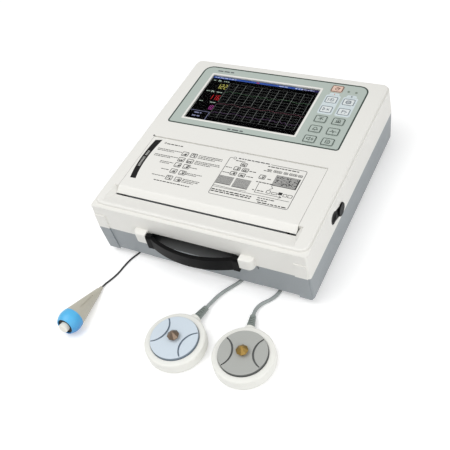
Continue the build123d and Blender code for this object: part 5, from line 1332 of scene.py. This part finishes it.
    def frame_and_title(self) -> None:
        """The right-hand box: its outline, the gap for its heading and its bold last row."""
        frame = self.sheet("label_frame")
        frame.frame(-5.5, 100.2, -94.5, -28.6, 3.0, 0.75)
        self.ink(frame, "grey", 84)
        tab = self.sheet("label_tab", 0.05)
        tab.bar(-1.5, 51.5, -30.8, -26.2)
        tab.finish("door", PrintInk("ink_white", srgb(232, 231, 227)), "housing_white")
        bold = self.sheet("label_bold_row")
        bold.words(60.4, 98.0, -91.8, 1.5, 105)
        self.ink(bold, "soft_black", 44)

    def build(self) -> None:
        """Paints the door and the drive, and prints the label."""
        bench = self.bench
        bench.paint(HOUSING_WHITE, "printer_door")
        bench.paint(TurnedMetal("pin_steel", (0.6, 0.6, 0.58, 1.0), Turning.X), "door_hinge_pins",
                    "roller_shaft")
        bench.paint(RubberSkin("roller_rubber", srgb(34, 34, 36), 0.55), "platen_roller")
        bench.paint(MouldedPlastic("gear_black", srgb(36, 36, 38), 0.45), "roller_gear")
        bench.paint(TurnedMetal("pinion_brass", (0.72, 0.52, 0.24, 1.0), Turning.X), "motor_pinion")
        bench.paint(MouldedPlastic("tray_grey", srgb(128, 132, 136), 0.5), "paper_tray")
        bench.paint(PaperStack("chart_paper", (0.86, 0.84, 0.8, 1.0)), "paper_pack")
        bench.paint(MouldedPlastic("release_black", srgb(4, 4, 5), 0.45, shine=0.12),
                    "door_release")
        self.curved_bar()
        self.frame_and_title()
        label = self.sheet("label_lines", 0.1)
        self.left_block(label)
        self.right_left_half(label)
        self.right_right_half(label)
        self.ink(label, "label", 46)
        self.hatched()
        dot = self.sheet("hinge_dot")
        dot.fill(circle_outline(-127.4, -16.4, 1.3))
        dot.finish("case", PrintInk("dot_black", srgb(20, 20, 20)), "black_plastic")


# ---- Handle, probes and marker ----
@dataclass
class Handle:
    """The carrying handle on the front face, and two dark strips that imitate its shadow."""

    bench: Bench
    wall_y: float = -152.75
    lean: float = 0.012
    seam_z: float = 51.5
    strip: tuple[float, float, float, float] = (-63.0, 58.2, 41.0, 63.5)
    proud: float = 0.3
    thickness: float = 0.5

    def plate(self, name: str, bottom: float, top: float, foot: float, head: float,
              wall: float, slant: float, slot: str) -> None:
        """A thin dark plate on the front wall: a painted shadow of the handle.

        Args:
            name: the piece's name.
            bottom, top: its heights.
            foot, head: the radii of its lower and upper corners.
            wall: the wall's y at the seam.
            slant: how far the wall leans back for each mm of height.
            slot: the record's material slot; not used.
        """
        left, right = self.strip[:2]
        outline = rounded_outline(left, right, bottom, top, foot, head)
        size = len(outline)
        wall_y = wall - self.proud + (outline[:, 1] - self.seam_z) * slant
        front = np.column_stack([outline[:, 0], wall_y, outline[:, 1]])
        back = front + [0.0, self.thickness, 0.0]
        ahead = np.arange(size)
        after = np.roll(ahead, -1)
        sides = np.stack([ahead + size, after + size, after, ahead], axis=-1)
        faces = [ahead.tolist(), (ahead[::-1] + size).tolist()] + sides.tolist()
        piece = self.bench.solid(name, np.vstack([front, back]), faces)
        # Painted shadow: lighter grey at the strips' foot, nearly black towards the top under the
        # handle.
        dark = HeightShadedPlastic("handle_painted_shadow", srgb(84, 86, 86), srgb(18, 18, 18),
                             self.strip[2] * MM, (self.strip[3] - 3.0) * MM)
        self.bench.dress(piece, "case", dark, slot)

    def build(self) -> None:
        """Paints the handle and adds the strips."""
        self.bench.paint(MouldedPlastic("handle_black", srgb(4, 4, 5), 0.5, shine=0.1),
                         "carry_handle")
        self.plate("handle_upper_painted_shadow", self.seam_z, self.strip[3], 0.4, 4.0, self.wall_y,
                   self.lean, "housing_white")
        self.plate("handle_lower_painted_shadow", self.strip[2], self.seam_z - 0.1, 3.0, 0.4,
                   self.wall_y + 0.05, -0.02, "base_grey")


@dataclass
class Probes:
    """The two ultrasound probes."""

    bench: Bench
    side_z: float = 19.6
    face_z: float = 20.5

    def build(self) -> None:
        """Paints each probe's housing, disc, stud and strain relief."""
        bench = self.bench
        bench.paint(MouldedPlastic("probe_white", srgb(236, 236, 230), 0.38, coat=0.1),
                    "probe_1_housing", "probe_2_housing")
        # Painted light and shade: each disc gets a lit colour for its top and a darker one for its
        # side, blended by height between side_z and face_z.
        discs = (("probe_1_disc", (206, 218, 228), (128, 142, 156)),
                 ("probe_2_disc", (172, 174, 170), (98, 101, 100)))
        for node, top, side in discs:
            bench.paint(HeightShadedPlastic(node + "_plastic", srgb(*side), srgb(*top),
                                      self.side_z * MM, self.face_z * MM, 0.42, 0.4), node)
        bench.paint(TurnedMetal("stud_bronze", (0.27, 0.20, 0.15, 1.0)), "probe_1_stud")
        bench.paint(TurnedMetal("stud_brass", (0.42, 0.27, 0.08, 1.0)), "probe_2_stud")
        bench.paint(RubberSkin("relief_grey", srgb(136, 144, 140), 0.55),
                    "probe_1_boot", "probe_2_boot")


@dataclass
class Marker:
    """The hand-held event marker."""

    bench: Bench

    def build(self) -> None:
        """Paints the marker's body, collar, ring and button."""
        bench = self.bench
        bench.paint(MouldedPlastic("marker_cream", srgb(190, 186, 172), 0.45),
                    "marker_body")
        # Painted light and shade on the collar: darker blue low down, lighter blue towards the top.
        bench.paint(HeightShadedPlastic("marker_blue", srgb(30, 112, 186),
                                  srgb(86, 186, 238), 2.0 * MM, 28.0 * MM, 0.3, 0.5),
                    "marker_collar")
        bench.paint(MouldedPlastic("marker_ring_black", srgb(6, 8, 12), 0.4, shine=0.15),
                    "marker_ring")
        bench.paint(MouldedPlastic("marker_button_cream", srgb(238, 236, 226), 0.35),
                    "marker_button")


def main() -> None:
    """Loads the frame and builds the sub-assemblies in order."""
    logging.basicConfig(level=logging.INFO, format="%(name)s: %(message)s")
    bench = Bench(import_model())
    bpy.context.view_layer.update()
    Studio(bench).build()
    Leads(bench).build()
    for part in (Case, RearPanel, KeyPanel, Screen, Printer, Handle, Probes, Marker):
        part(bench).build()
        LOG.info("finished the %s", part.__name__)


if __name__ == "__main__":
    main()
